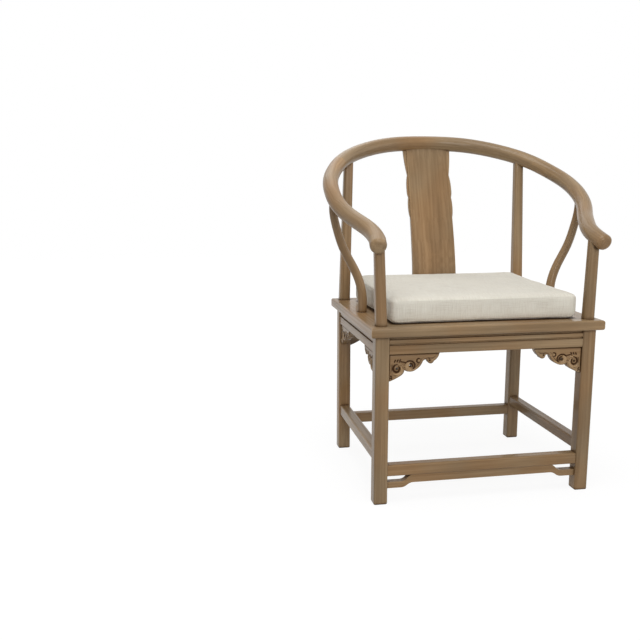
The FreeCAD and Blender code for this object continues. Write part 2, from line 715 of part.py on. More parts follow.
def spandrel(name, wide, high):
    """Outline hung from the apron, its leg edge at the sketch origin and its tip toward the floor."""
    body = doc.addObject("PartDesign::Body", name)

    def point(share):
        return V(-share[0] * size(wide), -share[1] * size(high), 0)

    runs = [(point(end), point(middle)) for end, middle in SPANDREL_SHARES]
    start = point(SPANDREL_START_SHARE)
    closing = [point((1.0, 0.0)), point((0.0, 0.0)), start]
    shape = outline(body, name + "_outline", "XZ_Plane", start, runs, closing)
    pad(body, name + "_thickness", shape, "spandrel_thick")
    holes = new_sketch(body, name + "_holes", "XZ_Plane")
    hole = size("scroll_hole") * size(wide) / size("spandrel_wide")
    holes.addGeometry(Part.Circle(point(SCROLL_HOLE_SHARE), V(0, 0, 1), hole), False)
    hole = size("volute_hole") * size(wide) / size("spandrel_wide")
    holes.addGeometry(Part.Circle(point(VOLUTE_HOLE_SHARE), V(0, 0, 1), hole), False)
    pierced = body.newObject("PartDesign::Pocket", name + "_pierced")
    pierced.Profile = holes
    pierced.SideType = "Symmetric"
    bind(pierced, "Length", "2 mm * spandrel_thick")
    doc.recompute()
    return body


SPANDREL_Y = LEG_FACE_Y + " - spandrel_back - spandrel_thick / 2"
SPANDREL_X = LEG_FACE_X + " - spandrel_back - spandrel_thick / 2"


def tongued(name, body, sizes, x, y):
    """A spandrel with the tongue along its top, and the groove block for the apron."""
    low = " + apron_edge"
    tongue = box(
        name + "_tongue", sizes[0], sizes[1], "spandrel_tongue_high" + low, x, y,
        APRON_LOW + " + (spandrel_tongue_high - apron_edge) / 2")
    groove = box(
        name + "_groove", sizes[0] + " + 2 * joint_clearance", sizes[1] + " + 2 * joint_clearance",
        "spandrel_tongue_high" + low + " + 2 * joint_clearance", x, y,
        APRON_LOW + " + (spandrel_tongue_high - apron_edge) / 2")
    return fuse(name + "_whole", [body, tongue]), groove


front_spandrel_body = spandrel("front_spandrel_body", "spandrel_wide", "spandrel_high")
place(front_spandrel_body, "(" + LEG_GAP_X + ") / 2", "-(" + SPANDREL_Y + ")", APRON_LOW)
FRONT_TONGUE_X = "(" + LEG_GAP_X + ") / 2 - spandrel_wide / 2"
front_spandrel, front_groove = tongued(
    "front_spandrel", front_spandrel_body, ("spandrel_wide * spandrel_tongue_share", "spandrel_tongue_thick"),
    FRONT_TONGUE_X, "-(" + SPANDREL_Y + ")")
side_spandrel_body = spandrel("side_spandrel_body", "side_spandrel_wide", "side_spandrel_high")
turned(side_spandrel_body, 90)
place(side_spandrel_body, SPANDREL_X, "(" + LEG_GAP_Y + ") / 2", APRON_LOW)
side_spandrel, side_groove = tongued(
    "side_spandrel", side_spandrel_body, ("spandrel_tongue_thick", "side_spandrel_wide * spandrel_tongue_share"),
    SPANDREL_X, "(" + LEG_GAP_Y + ") / 2 - side_spandrel_wide / 2")
front_groove_left = mirrored("front_groove_left", front_groove, RIGHTWARD)
rear_groove = mirrored("rear_groove", front_groove, BACKWARD)
rear_groove_left = mirrored("rear_groove_left", rear_groove, RIGHTWARD)
side_groove_front = mirrored("side_groove_front", side_groove, BACKWARD)
rear_spandrel = mirrored("rear_spandrel_mirror", front_spandrel, BACKWARD)
side_spandrel_front = mirrored("side_spandrel_front_mirror", side_spandrel, BACKWARD)

# Crest rail: one swept rail, later split in three.


def crest_point(share):
    return V(
        share[0] * size("crest_half_wide"),
        size("crest_widest_y") + share[1] * size("crest_reach_back"),
        size("crest_top_z") - share[2] * size("crest_drop"))


def rail_section(centre, tangent, radius):
    """Closed section of the rail square to its run."""
    outward = tangent.cross(V(0, 0, 1))
    outward.normalize()
    upward = outward.cross(tangent)
    upward.normalize()
    points = []
    count = len(RAIL_SECTION_SHARES)
    for k, share in enumerate(RAIL_SECTION_SHARES):
        angle = 2 * math.pi * k / count
        points.append(centre + outward * (radius * share * math.cos(angle))
                      + upward * (radius * share * math.sin(angle)))
    ring = Part.BSplineCurve()
    ring.interpolate(Points=points, PeriodicFlag=True)
    return Part.Wire([ring.toShape()])


crest_nodes = [crest_point(share) for share in CREST_SHARES]
grip_run = crest_nodes[-1] - crest_nodes[-2]
crest_line = Part.BSplineCurve()
crest_line.interpolate(
    Points=crest_nodes,
    InitialTangent=V(crest_nodes[1].x, 0, 0),
    FinalTangent=grip_run)


def rail_end(point, radius):
    at = crest_line.parameter(point)
    return rail_section(point, V(*crest_line.tangent(at)[0]), radius)


# The rail thins gently from the back to the blunt, rounded hand grip.
rail_sweep = Part.BRepOffsetAPI.MakePipeShell(Part.Wire([crest_line.toShape()]))
rail_sweep.setFrenetMode(False)
rail_sweep.add(rail_end(crest_nodes[0], size("crest_round")), False, False)
rail_sweep.add(rail_end(crest_nodes[-1], size("handle_round")), False, False)
rail_sweep.build()
rail_sweep.makeSolid()
grip_run.normalize()
grip_rings = []
for k in range(GRIP_STEPS + 1):
    turn = math.pi / 2 * k / GRIP_STEPS
    ahead = size("grip_end_round") * math.sin(turn)
    radius = size("handle_round") - size("grip_end_round") * (1 - math.cos(turn))
    grip_rings.append(rail_section(crest_nodes[-1] + grip_run * ahead, grip_run, radius))
grip_cap = Part.makeLoft(grip_rings, True, True)
crest_half = computed("crest_half", rail_sweep.shape().fuse(grip_cap))

# The lapped joint between the back of the rail and each arm, half way from back post to side post.
scarf_at = (crest_line.parameter(crest_nodes[6]) + crest_line.parameter(crest_nodes[7])) / 2
scarf_centre = crest_line.value(scarf_at)
scarf_run = V(*crest_line.tangent(scarf_at)[0])
scarf_side = scarf_run.cross(V(0, 0, 1))
scarf_side.normalize()
scarf_up = scarf_side.cross(scarf_run)
scarf_turn = FreeCAD.Rotation(scarf_run, scarf_side.negative(), scarf_up, "XYZ")


def scarf_block(name, start, end, low, high, reach):
    """A block in the joint's own directions: along the rail, across it and up."""
    shape = Part.makeBox(end - start, 2 * reach, high - low, V(start, -reach, low))
    item = computed(name, shape)
    item.Placement = FreeCAD.Placement(scarf_centre, scarf_turn)
    return item


lap = size("scarf_half_long")
room = size("scarf_reach")
wide = size("crest_half_wide")
back_block = scarf_block("scarf_back_block", -2 * wide, -lap, -wide, wide, 2 * wide)
lap_block = scarf_block("scarf_lap_block", -2 * lap, lap, -room, 0, room)
back_region = fuse("scarf_back_region", [back_block, lap_block])
crest_back_half = common("crest_back_half", crest_half, back_region)
crest_arm_half = cut("crest_arm_half", crest_half, [back_region])
crest_back_other = mirrored("crest_back_other", crest_back_half, RIGHTWARD)
crest_back_whole = fuse("crest_back_whole", [crest_back_half, crest_back_other])
pin_half = size("pin_side") / 2
crest_pin = scarf_block(
    "crest_pin_block", -pin_half, pin_half, -pin_half, pin_half, size("pin_long") / 2)
pin_free = size("joint_clearance")
crest_pin_hole = scarf_block(
    "crest_pin_hole", -pin_half - pin_free, pin_half + pin_free, -pin_half - pin_free,
    pin_half + pin_free, size("pin_long") / 2 + pin_free)
crest_pin_hole_left = mirrored("crest_pin_hole_left", crest_pin_hole, RIGHTWARD)

# Curved side post.
foot_z = size("seat_top") - size("post_housing")
post_nodes = []
for rise, swing, lean in SIDE_POST_SHARES:
    post_nodes.append(V(
        size("side_post_foot_x") + swing * size("side_post_reach"),
        -size("side_post_foot_y") + lean * size("side_post_lean"),
        size("seat_top") + rise * (size("side_post_top_z") - size("seat_top"))))
post_line = Part.BSplineCurve()
post_line.interpolate(
    Points=[V(post_nodes[0].x, post_nodes[0].y, foot_z)] + post_nodes,
    InitialTangent=V(0, 0, 1),
    FinalTangent=V(0, 0, 1))
post_sections = []
POST_STATIONS = 13
for k in range(POST_STATIONS):
    share = k / (POST_STATIONS - 1)
    at = post_line.parameterAtDistance(share * post_line.length(), post_line.FirstParameter)
    direction = V(*post_line.tangent(at)[0])
    if k in (0, POST_STATIONS - 1):
        direction = V(0, 0, 1)
    radius = size("side_post_foot") + share * (size("side_post_top") - size("side_post_foot"))
    circle = Part.Circle(post_line.value(at), direction, radius)
    flat = V(0, 1, 0).cross(direction)
    circle.XAxis = flat
    post_sections.append(Part.Wire([circle.toShape()]))
side_post = computed("side_post_shape", Part.makeLoft(post_sections, True))

# Splat and its wing strips: a bent board seen from the side, trimmed to its front outline.
splat_nodes = []
for rise, sweep in SPLAT_SHARES:
    splat_nodes.append(V(
        0,
        size("splat_foot_y") + sweep * size("splat_sweep"),
        size("seat_top") + rise * size("crest_rise")))
splat_line = Part.BSplineCurve()
splat_line.interpolate(splat_nodes)


def bent_board(thick, wide):
    """The bent board, centred on x = 0."""
    faces = []
    for side in (-1, 1):
        points = []
        for point in splat_nodes:
            run = V(*splat_line.tangent(splat_line.parameter(point))[0])
            across = V(0, run.z, -run.y)
            across.normalize()
            points.append(point + across * (side * thick / 2))
        curve = Part.BSplineCurve()
        curve.interpolate(points)
        faces.append((curve, points))
    (front, front_points), (back, back_points) = faces
    wire = Part.Wire([
        front.toShape(),
        Part.LineSegment(front_points[-1], back_points[-1]).toShape(),
        back.toShape(),
        Part.LineSegment(back_points[0], front_points[0]).toShape(),
    ])
    face = Part.Face(wire)
    board = face.extrude(V(wide, 0, 0))
    board.translate(V(-wide / 2, 0, 0))
    return board


def upright_outline(name, start, runs, closing):
    """A front outline made deep enough to trim the bent board."""
    body = doc.addObject("PartDesign::Body", name)
    sketch = outline(body, name + "_outline", "XZ_Plane", start, runs, closing)
    pad(body, name + "_depth", sketch, "2 * seat_depth")
    return body


splat_low = size("seat_top") - size("post_housing")
splat_high = size("splat_top_z")
foot_half = size("splat_wide_foot") / 2
top_half = size("splat_wide_top") / 2
splat_corners = [
    V(-foot_half, splat_low, 0),
    V(foot_half, splat_low, 0),
    V(top_half, splat_high, 0),
    V(-top_half, splat_high, 0),
]
splat_trim = upright_outline("splat_trim", splat_corners[0], [], splat_corners[1:] + splat_corners[:1])
splat_board = computed("splat_board", bent_board(size("splat_thick"), 2 * size("splat_wide_foot")))
splat = common("splat_whole", splat_board, splat_trim)


def splat_edge(height):
    share = (height - splat_low) / (splat_high - splat_low)
    return foot_half + share * (top_half - foot_half)


def wing_point(share):
    height = splat_high - share[0] * size("wing_long")
    return V(splat_edge(height) + share[1] * size("wing_wide"), height, 0)


wing_trim = upright_outline(
    "wing_trim", wing_point(WING_START_SHARE),
    [(wing_point(end), wing_point(middle)) for end, middle in WING_SHARES],
    [wing_point((1.0, 0.0)), wing_point((0.0, 0.0)), wing_point(WING_START_SHARE)])
wing_board = computed("wing_board", bent_board(size("wing_thick"), 2 * size("splat_wide_foot")))
wing = common("wing_whole", wing_board, wing_trim)
wing_left = mirrored("wing_left_mirror", wing, RIGHTWARD)

# Seat frame: four mitred members, grooved for the panel and pierced by the posts.


def mitred_member(name, long, angle, x, y):
    body = doc.addObject("PartDesign::Body", name)
    sketch = new_sketch(body, name + "_plan", "XY_Plane")
    half = 2 * size("seat_rail_wide")
    corners = [V(-half, 0, 0), V(half, 0, 0), V(half / 2, half / 2, 0), V(-half / 2, half / 2, 0)]
    for k in range(4):
        sketch.addGeometry(Part.LineSegment(corners[k], corners[(k + 1) % 4]), False)
    for k in range(4):
        sketch.addConstraint(Sketcher.Constraint("Coincident", k, 2, (k + 1) % 4, 1))
    sketch.addConstraint(Sketcher.Constraint("Symmetric", 0, 1, 0, 2, -1, 1))
    sketch.addConstraint(Sketcher.Constraint("Horizontal", 0))
    sketch.addConstraint(Sketcher.Constraint("Symmetric", 2, 1, 2, 2, -2))
    item = sketch.addConstraint(Sketcher.Constraint("DistanceX", 0, 1, 0, 2, 2 * half))
    sketch.renameConstraint(item, "outer")
    item = sketch.addConstraint(Sketcher.Constraint("DistanceX", 2, 2, 2, 1, half))
    sketch.renameConstraint(item, "inner")
    item = sketch.addConstraint(Sketcher.Constraint("DistanceY", 0, 2, 1, 2, half / 2))
    sketch.renameConstraint(item, "wide")
    bind(sketch, "Constraints.outer", "1 mm * " + long)
    bind(sketch, "Constraints.inner", "1 mm * (" + long + " - 2 * seat_rail_wide)")
    bind(sketch, "Constraints.wide", "1 mm * seat_rail_wide")
    feature = pad(body, name + "_thickness", sketch, "seat_frame_thick", False)

    def outer(run, middle):
        return abs(run.x) > size(long) / 2 and abs(middle.y) < size("seat_edge") / 10

    fillet(body, name + "_edge", feature, edges(feature.Shape, outer), "seat_edge")
    turned(body, angle)
    place(body, x, y, FRAME_LOW)
    doc.recompute()
    return body


member_front = mitred_member("member_front", "seat_width", 0, "0", "-seat_depth / 2")
member_rear = mitred_member("member_rear", "seat_width", 180, "0", "seat_depth / 2")
member_side = mitred_member("member_side", "seat_depth", 90, "seat_width / 2", "0")
OPEN_X = "(seat_width - 2 * seat_rail_wide)"
OPEN_Y = "(seat_depth - 2 * seat_rail_wide)"
TONGUE_MID = "seat_top - panel_sunk - panel_thick + panel_tongue_thick / 2"
GROOVE = " + 2 * (panel_tongue + panel_groove_spare)"
panel_groove = box(
    "panel_groove", OPEN_X + GROOVE, OPEN_Y + GROOVE, "panel_tongue_thick + 2 * joint_clearance",
    "0", "0", TONGUE_MID)
panel_body = doc.addObject("PartDesign::Body", "panel_body")
panel_plan = rectangle(
    panel_body, "panel_plan", "XY_Plane", OPEN_X + " - 2 * joint_clearance",
    OPEN_Y + " - 2 * joint_clearance")
pad(panel_body, "panel_field", panel_plan, "panel_thick", False)
tongue_plan = rectangle(
    panel_body, "tongue_plan", "XY_Plane", OPEN_X + " + 2 * panel_tongue", OPEN_Y + " + 2 * panel_tongue")
pad(panel_body, "panel_tongue_plate", tongue_plan, "panel_tongue_thick", False)
place(panel_body, "0", "0", "seat_top - panel_sunk - panel_thick")

# Battens across the underside of the panel.
batten_body = doc.addObject("PartDesign::Body", "batten_body")
batten_section = rectangle(batten_body, "batten_section", "XZ_Plane", "batten_wide", "batten_high")
pad(batten_body, "batten_length", batten_section, OPEN_Y)
BATTEN_TOP = "seat_top - panel_sunk - panel_thick"
place(batten_body, "batten_spacing / 2", "0", BATTEN_TOP + " - batten_high / 2")
batten_tenon = box(
    "batten_tenon", "batten_wide", OPEN_Y + " + 2 * batten_tenon_long", "batten_tenon_thick",
    "batten_spacing / 2", "0", BATTEN_TOP + " - batten_tenon_thick / 2")
batten = fuse("batten_whole", [batten_body, batten_tenon])
batten_mortise = box(
    "batten_mortise", "batten_wide + 2 * joint_clearance",
    OPEN_Y + " + 2 * batten_tenon_long + 4 * joint_clearance",
    "batten_tenon_thick + 2 * joint_clearance",
    "batten_spacing / 2", "0", BATTEN_TOP + " - batten_tenon_thick / 2")
batten_mortise_left = mirrored("batten_mortise_left", batten_mortise, RIGHTWARD)

# Tongues across the four mitres.
MITRE_X = "leg_span_x / 2 - mitre_tongue_inset"
MITRE_Y = "leg_span_y / 2 - mitre_tongue_inset"
MITRE_Z = FRAME_LOW + " + mitre_tongue_rise + mitre_tongue_thick / 2"
mitre_tongue = box(
    "mitre_tongue", "mitre_tongue_long", "mitre_tongue_deep", "mitre_tongue_thick",
    MITRE_X, MITRE_Y, MITRE_Z, 45)
mitre_room = box(
    "mitre_room", "mitre_tongue_long + 2 * joint_clearance",
    "mitre_tongue_deep + 2 * joint_clearance", "mitre_tongue_thick + 2 * joint_clearance",
    MITRE_X, MITRE_Y, MITRE_Z, 45)
mitre_tongue_left = mirrored("mitre_tongue_left", mitre_tongue, RIGHTWARD)
mitre_tongue_front = mirrored("mitre_tongue_front", mitre_tongue, BACKWARD)
mitre_tongue_front_left = mirrored("mitre_tongue_front_left", mitre_tongue_front, RIGHTWARD)
mitre_room_front = mirrored("mitre_room_front", mitre_room, BACKWARD)

front_leg_left_tool = mirrored("front_leg_left_tool", front_leg, RIGHTWARD)
rear_leg_left_tool = mirrored("rear_leg_left_tool", rear_leg, RIGHTWARD)
rail_front_grooved = cut(
    "rail_front_grooved", fuse("rail_front_tongued", [
        member_front, mitre_tongue_front, mitre_tongue_front_left]),
    [panel_groove])
rail_rear_grooved = cut(
    "rail_rear_grooved", fuse("rail_rear_tongued", [member_rear, mitre_tongue, mitre_tongue_left]),
    [panel_groove])
rail_front = cut(
    "rail_front", cut("rail_front_posted", rail_front_grooved, [front_leg, front_leg_left_tool]),
    [batten_mortise, batten_mortise_left])
rail_rear = cut(
    "rail_rear", cut(
        "rail_rear_posted", rail_rear_grooved, [rear_leg, rear_leg_left_tool, splat]),
    [batten_mortise, batten_mortise_left])
rail_side = cut(
    "rail_side", cut(
        "rail_side_posted", member_side, [panel_groove, front_leg, rear_leg, side_post]),
    [mitre_room, mitre_room_front])

# Legs with the mortises of everything that enters them.
front_leg_right = cut("front_leg_mortised", front_leg, [
    apron_front_mortise, apron_side_mortise, waist_front_mortise, waist_side_mortise,
    footrest_mortise, side_stretcher_mortise, humpback_mortise])
rear_leg_right = cut("rear_leg_mortised", rear_leg, [
    apron_rear_mortise, apron_side_mortise, waist_rear_mortise, waist_side_mortise,
    rear_stretcher_mortise, side_stretcher_mortise])

# Aprons with the grooves for the spandrel tongues.
apron_front_whole = cut("apron_front_whole", apron_front, [front_groove, front_groove_left])
apron_rear_whole = cut("apron_rear_whole", apron_rear, [rear_groove, rear_groove_left])
apron_side_whole = cut("apron_side_whole", apron_side, [side_groove, side_groove_front])

# Crest rail pieces with the housings of the posts, the splat, the wings and the locking pins.
crest_back_housed = cut("crest_back_housed", crest_back_whole, [rear_leg, rear_leg_left_tool])
crest_back = cut("crest_back_finished", cut(
    "crest_back_pinned", crest_back_housed, [crest_pin_hole, crest_pin_hole_left]),
    [splat, wing, wing_left])
crest_arm = cut("crest_arm_finished", cut(
    "crest_arm_pinned", crest_arm_half, [crest_pin_hole]), [front_leg, side_post])

# Cushion: a stuffed cover with a crown, and the filling inside it.


def cushion_ring(inset, height, corner, rise):
    """One level of the cushion: four sides drawn in between four corner arcs, tilted up to the back."""
    side_x = size("cushion_wide") / 2 - inset
    side_y = size("cushion_deep") / 2 - inset
    half_x = side_x - size("cushion_pull")
    half_y = side_y - size("cushion_pull")
    middle_y = -size("cushion_forward")
    diagonal = corner * (1 - math.sqrt(0.5))
    parts = []
    turns = [(1, -1), (1, 1), (-1, 1), (-1, -1)]
    for k, (sx, sy) in enumerate(turns):
        near = V(sx * side_x, sy * (side_y - corner), 0)
        far = V(sx * (side_x - corner), sy * side_y, 0)
        bend = V(sx * (side_x - diagonal), sy * (side_y - diagonal), 0)
        start, end = (far, near) if sx * sy < 0 else (near, far)
        parts.append((start, bend, end))
    pieces = []
    bows = [V(half_x, 0, 0), V(0, half_y, 0), V(-half_x, 0, 0), V(0, -half_y, 0)]
    shift = V(0, middle_y, height)
    for k in range(4):
        start, bend, end = parts[k]
        following = parts[(k + 1) % 4][0]
        pieces.append(Part.Arc(start + shift, bend + shift, end + shift).toShape())
        pieces.append(Part.Arc(end + shift, bows[k] + shift, following + shift).toShape())
    ring = Part.Wire(pieces)
    tilt = math.degrees(math.atan(rise * size("cushion_slope") / size("cushion_deep")))
    ring.rotate(V(0, middle_y - size("cushion_deep") / 2, height), V(1, 0, 0), tilt)
    return ring


def cushion_solid(inset):
    low = size("seat_top") + size("cushion_rest_gap") + inset
    high = size("cushion_high") - 2 * inset
    rings = []
    for rise, draw in CUSHION_SHARES:
        inward = inset + draw * size("cushion_high")
        corner = max(size("cushion_corner") - inset, size("cushion_corner") / 2)
        rings.append(cushion_ring(inward, low + rise * high, corner, rise))
    return Part.makeLoft(rings, True, True)


cushion_outer = computed("cushion_outer", cushion_solid(0))
cushion_inner = computed("cushion_inner", cushion_solid(size("cover_thick")))
cover = cut("cushion_cover_whole", cushion_outer, [cushion_inner])
foam = computed("cushion_foam_shape", cushion_solid(size("cover_thick") + size("foam_gap")))

# Finished sub-parts under their own names.
pair("front_leg_left", "front_leg_right", front_leg_right)
pair("rear_leg_left", "rear_leg_right", rear_leg_right)
node("seat_rail_front", rail_front)
node("seat_rail_rear", rail_rear)
pair("seat_rail_left", "seat_rail_right", rail_side)
node("seat_panel", panel_body)
pair("seat_batten_left", "seat_batten_right", batten)
node("waist_front", waist_front)
node("waist_rear", waist_rear)
pair("waist_left", "waist_right", waist_side)
node("apron_front", apron_front_whole)
node("apron_rear", apron_rear_whole)
pair("apron_left", "apron_right", apron_side_whole)
pair("front_spandrel_left", "front_spandrel_right", front_spandrel)
pair("rear_spandrel_left", "rear_spandrel_right", rear_spandrel)
pair("side_spandrel_left_front", "side_spandrel_right_front", side_spandrel_front)
pair("side_spandrel_left_rear", "side_spandrel_right_rear", side_spandrel)
node("footrest_front", footrest)
node("humpback_stretcher", humpback)
node("stretcher_rear", rear_stretcher)
pair("stretcher_left", "stretcher_right", side_stretcher)
node("crest_back", crest_back)
pair("crest_arm_left", "crest_arm_right", crest_arm)
pair("crest_pin_left", "crest_pin_right", crest_pin)
pair("side_post_left", "side_post_right", side_post)
node("back_splat", splat)
node("splat_wing_right", wing)
node("splat_wing_left", wing_left)
node("cushion_cover", cover)
node("cushion_foam", foam)
doc.recompute()

# The frame's origin stands on the floor under the middle of the whole chair.
back_reach = crest_half.Shape.optimalBoundingBox().YMax
front_reach = crest_half.Shape.optimalBoundingBox().YMin
seat_shift = -(back_reach + front_reach) / 2

os.makedirs("parts", exist_ok=True)
for item in doc.Objects:
    if "Invalid" in item.State or "Error" in item.State:
        raise RuntimeError("not built: " + item.Name)
for name, item in NODES:
    item.Label = name
    shape = item.Shape
    if shape.isNull() or not shape.isValid():
        raise RuntimeError("not valid: " + item.Label)
    shape = shape.copy()
    shape.translate(V(0, seat_shift, 0))
    shape.exportStep("parts/" + item.Label + ".step")
    box_size = shape.optimalBoundingBox()
    print(item.Label, len(shape.Solids), round(shape.Volume / 1000, 2), [
        round(value, 2) for value in (
            box_size.XMin, box_size.XMax, box_size.YMin, box_size.YMax, box_size.ZMin, box_size.ZMax)])
print("nodes", len(NODES), "shift", seat_shift)
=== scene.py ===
"""Horseshoe back armchair: oiled elm, carved spandrels and a linen cushion, laid out as an add-on."""
import cmath
import math

import bmesh
import bpy
import numpy as np
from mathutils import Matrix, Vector
from mathutils.bvhtree import BVHTree
from mathutils.geometry import delaunay_2d_cdt


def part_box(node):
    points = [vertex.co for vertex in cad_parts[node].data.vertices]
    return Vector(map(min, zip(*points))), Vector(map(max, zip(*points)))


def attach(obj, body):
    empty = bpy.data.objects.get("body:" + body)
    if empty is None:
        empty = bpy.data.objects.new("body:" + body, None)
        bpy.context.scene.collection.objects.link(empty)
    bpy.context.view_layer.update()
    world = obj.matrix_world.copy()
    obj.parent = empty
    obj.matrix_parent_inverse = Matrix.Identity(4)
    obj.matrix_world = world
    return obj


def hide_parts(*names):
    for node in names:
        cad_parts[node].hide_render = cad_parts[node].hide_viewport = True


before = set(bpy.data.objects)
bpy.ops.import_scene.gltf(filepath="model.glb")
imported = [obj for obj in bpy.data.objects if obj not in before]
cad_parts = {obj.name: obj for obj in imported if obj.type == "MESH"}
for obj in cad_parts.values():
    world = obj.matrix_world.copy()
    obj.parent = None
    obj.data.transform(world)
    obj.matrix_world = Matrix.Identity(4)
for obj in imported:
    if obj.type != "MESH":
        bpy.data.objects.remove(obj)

bl_info = {
    "name": "Horseshoe Back Armchair",
    "version": (1, 0, 0),
    "blender": (4, 5, 0),
    "location": "3D View > Sidebar > Armchair",
    "description": "Wood, carving, cushion and studio of a horseshoe back armchair",
    "category": "Object",
}

MM = 0.001

# Crest rail's right half, which its grain follows: shares of its half width, of its reach behind the widest
# place and of its drop. The widest place is measured from the middle of the seat.
RAIL_HALF_WIDE = 343.5 * MM
RAIL_REACH = 300 * MM
RAIL_DROP = 261 * MM
RAIL_WIDEST_Y = 15 * MM
RAIL_TOP = 902 * MM
RAIL_SHARES = (
    (0.0, 1.0, 0.0), (0.1659, 0.9861, 0.0035), (0.329, 0.9443, 0.0195), (0.4803, 0.8771, 0.0525),
    (0.6201, 0.7845, 0.1004), (0.7424, 0.67, 0.1602), (0.8443, 0.5359, 0.2355), (0.9258, 0.378, 0.3282),
    (0.982, 0.194, 0.429), (1.0, 0.0, 0.5444), (0.9782, -0.1767, 0.6641), (0.917, -0.3367, 0.7622),
    (0.8559, -0.5033, 0.834), (0.8205, -0.65, 0.9), (0.8181, -0.753, 0.944), (0.83, -0.843, 0.985),
    (0.8384, -0.909, 1.0153),
)
RAIL_LINE = np.array(RAIL_SHARES) * (RAIL_HALF_WIDE, RAIL_REACH, -RAIL_DROP) + (0, RAIL_WIDEST_Y, RAIL_TOP)
# Right side post: shares of its swing outward, of its swing backward and of its height over the seat.
SIDE_POST_FOOT = (267 * MM, -8 * MM, 450 * MM)
SIDE_POST_SWING = (77.5 * MM, 13 * MM, 303 * MM)
SIDE_POST_SHARES = (
    (0.0, 0.0, -0.04), (0.006, 0.230, 0.1656), (0.245, 0.615, 0.3642), (0.652, 0.846, 0.5629),
    (0.903, 1.0, 0.7616), (1.0, 1.0, 1.0),
)
SIDE_POST_LINE = np.array(SIDE_POST_SHARES) * SIDE_POST_SWING + SIDE_POST_FOOT

# Outline of a spandrel as shares of its width from the leg and its depth below the apron: each row is an
# end point and the point half way along its arc.
OUTLINE_START_SHARE = (0.0, 0.985)
OUTLINE_SHARES = (
    ((0.232, 0.785), (0.112, 0.905)), ((0.301, 0.592), (0.280, 0.700)), ((0.515, 0.597), (0.405, 0.650)),
    ((0.659, 0.298), (0.606, 0.470)), ((0.752, 0.264), (0.705, 0.238)), ((0.876, 0.300), (0.806, 0.388)),
    ((0.985, 0.040), (0.955, 0.165)),
)
# The large spandrel's size and its pierced holes, in millimetres.
SPANDREL_WIDE = 129.0
SPANDREL_HIGH = 69.0
FAR_HOLE = (53.4, 30.36, 3.6)
NEAR_HOLE = (19.35, 35.88, 3.2)


def linear(code):
    """An sRGB hex colour as the linear colour Blender works in."""
    values = [int(code[k:k + 2], 16) / 255 for k in (1, 3, 5)]
    return [v / 12.92 if v <= 0.04045 else ((v + 0.055) / 1.055) ** 2.4 for v in values] + [1.0]


def add(tree, kind, settings=None, inputs=None):
    """Adds a node, sets its options, feeds its inputs with values or other outputs, and gives its outputs."""
    node = tree.nodes.new(kind)
    for name, value in (settings or {}).items():
        setattr(node, name, value)
    for name, value in (inputs or {}).items():
        if isinstance(value, bpy.types.NodeSocket):
            tree.links.new(value, node.inputs[name])
        else:
            node.inputs[name].default_value = value
    return node.outputs


def new_material(name):
    """An empty material and its node tree."""
    material = bpy.data.materials.new(name)
    material.use_nodes = True
    material.node_tree.nodes.clear()
    return material, material.node_tree


def drawn_out(tree, vector, per_metre, detail, roughness):
    """Noise stretched along a surface, with the given number of patches in a metre each way."""
    stretched = add(tree, "ShaderNodeVectorMath", {"operation": "MULTIPLY"}, {0: vector, 1: per_metre})[0]
    return add(
        tree, "ShaderNodeTexNoise", {},
        {"Vector": stretched, "Scale": 1.0, "Detail": detail, "Roughness": roughness})["Fac"]


def new_object(name, data):
    """An object in the scene with the given data."""
    item = bpy.data.objects.new(name, data)
    bpy.context.scene.collection.objects.link(item)
    return item


class ArmchairWood(bpy.types.PropertyGroup):
    """Tones and grain of the oiled elm."""
    light: bpy.props.FloatVectorProperty(
        name="Light wood", description="Lightest tone between the grain lines", subtype="COLOR", size=3,
        default=linear("#A98B66")[:3])
    middle: bpy.props.FloatVectorProperty(
        name="Middle wood", description="Main tone of the oiled elm", subtype="COLOR", size=3,
        default=linear("#937653")[:3])
    dark: bpy.props.FloatVectorProperty(
        name="Dark wood", description="Tone of the grain lines", subtype="COLOR", size=3,
        default=linear("#6C5232")[:3])
    # This colour darkens hollows, joints and cuts: old polish together with painted shade.
    polish_and_shade: bpy.props.FloatVectorProperty(
        name="Glaze", description="Old polish that stays in grooves and carving", subtype="COLOR", size=3,
        default=linear("#392008")[:3])
    streak: bpy.props.FloatProperty(
        name="Streak width", description="Width of a grain streak", default=3.4 * MM, unit="LENGTH")
    pore: bpy.props.FloatProperty(
        name="Pore width", description="Width of an open pore line", default=0.55 * MM, unit="LENGTH")
    wander: bpy.props.FloatProperty(
        name="Wander", description="How far the grain wanders to the side", default=9.0 * MM, unit="LENGTH")
    edge: bpy.props.FloatProperty(
        name="Worn edge", description="Width of the rubbed edges", default=2.2 * MM, unit="LENGTH")


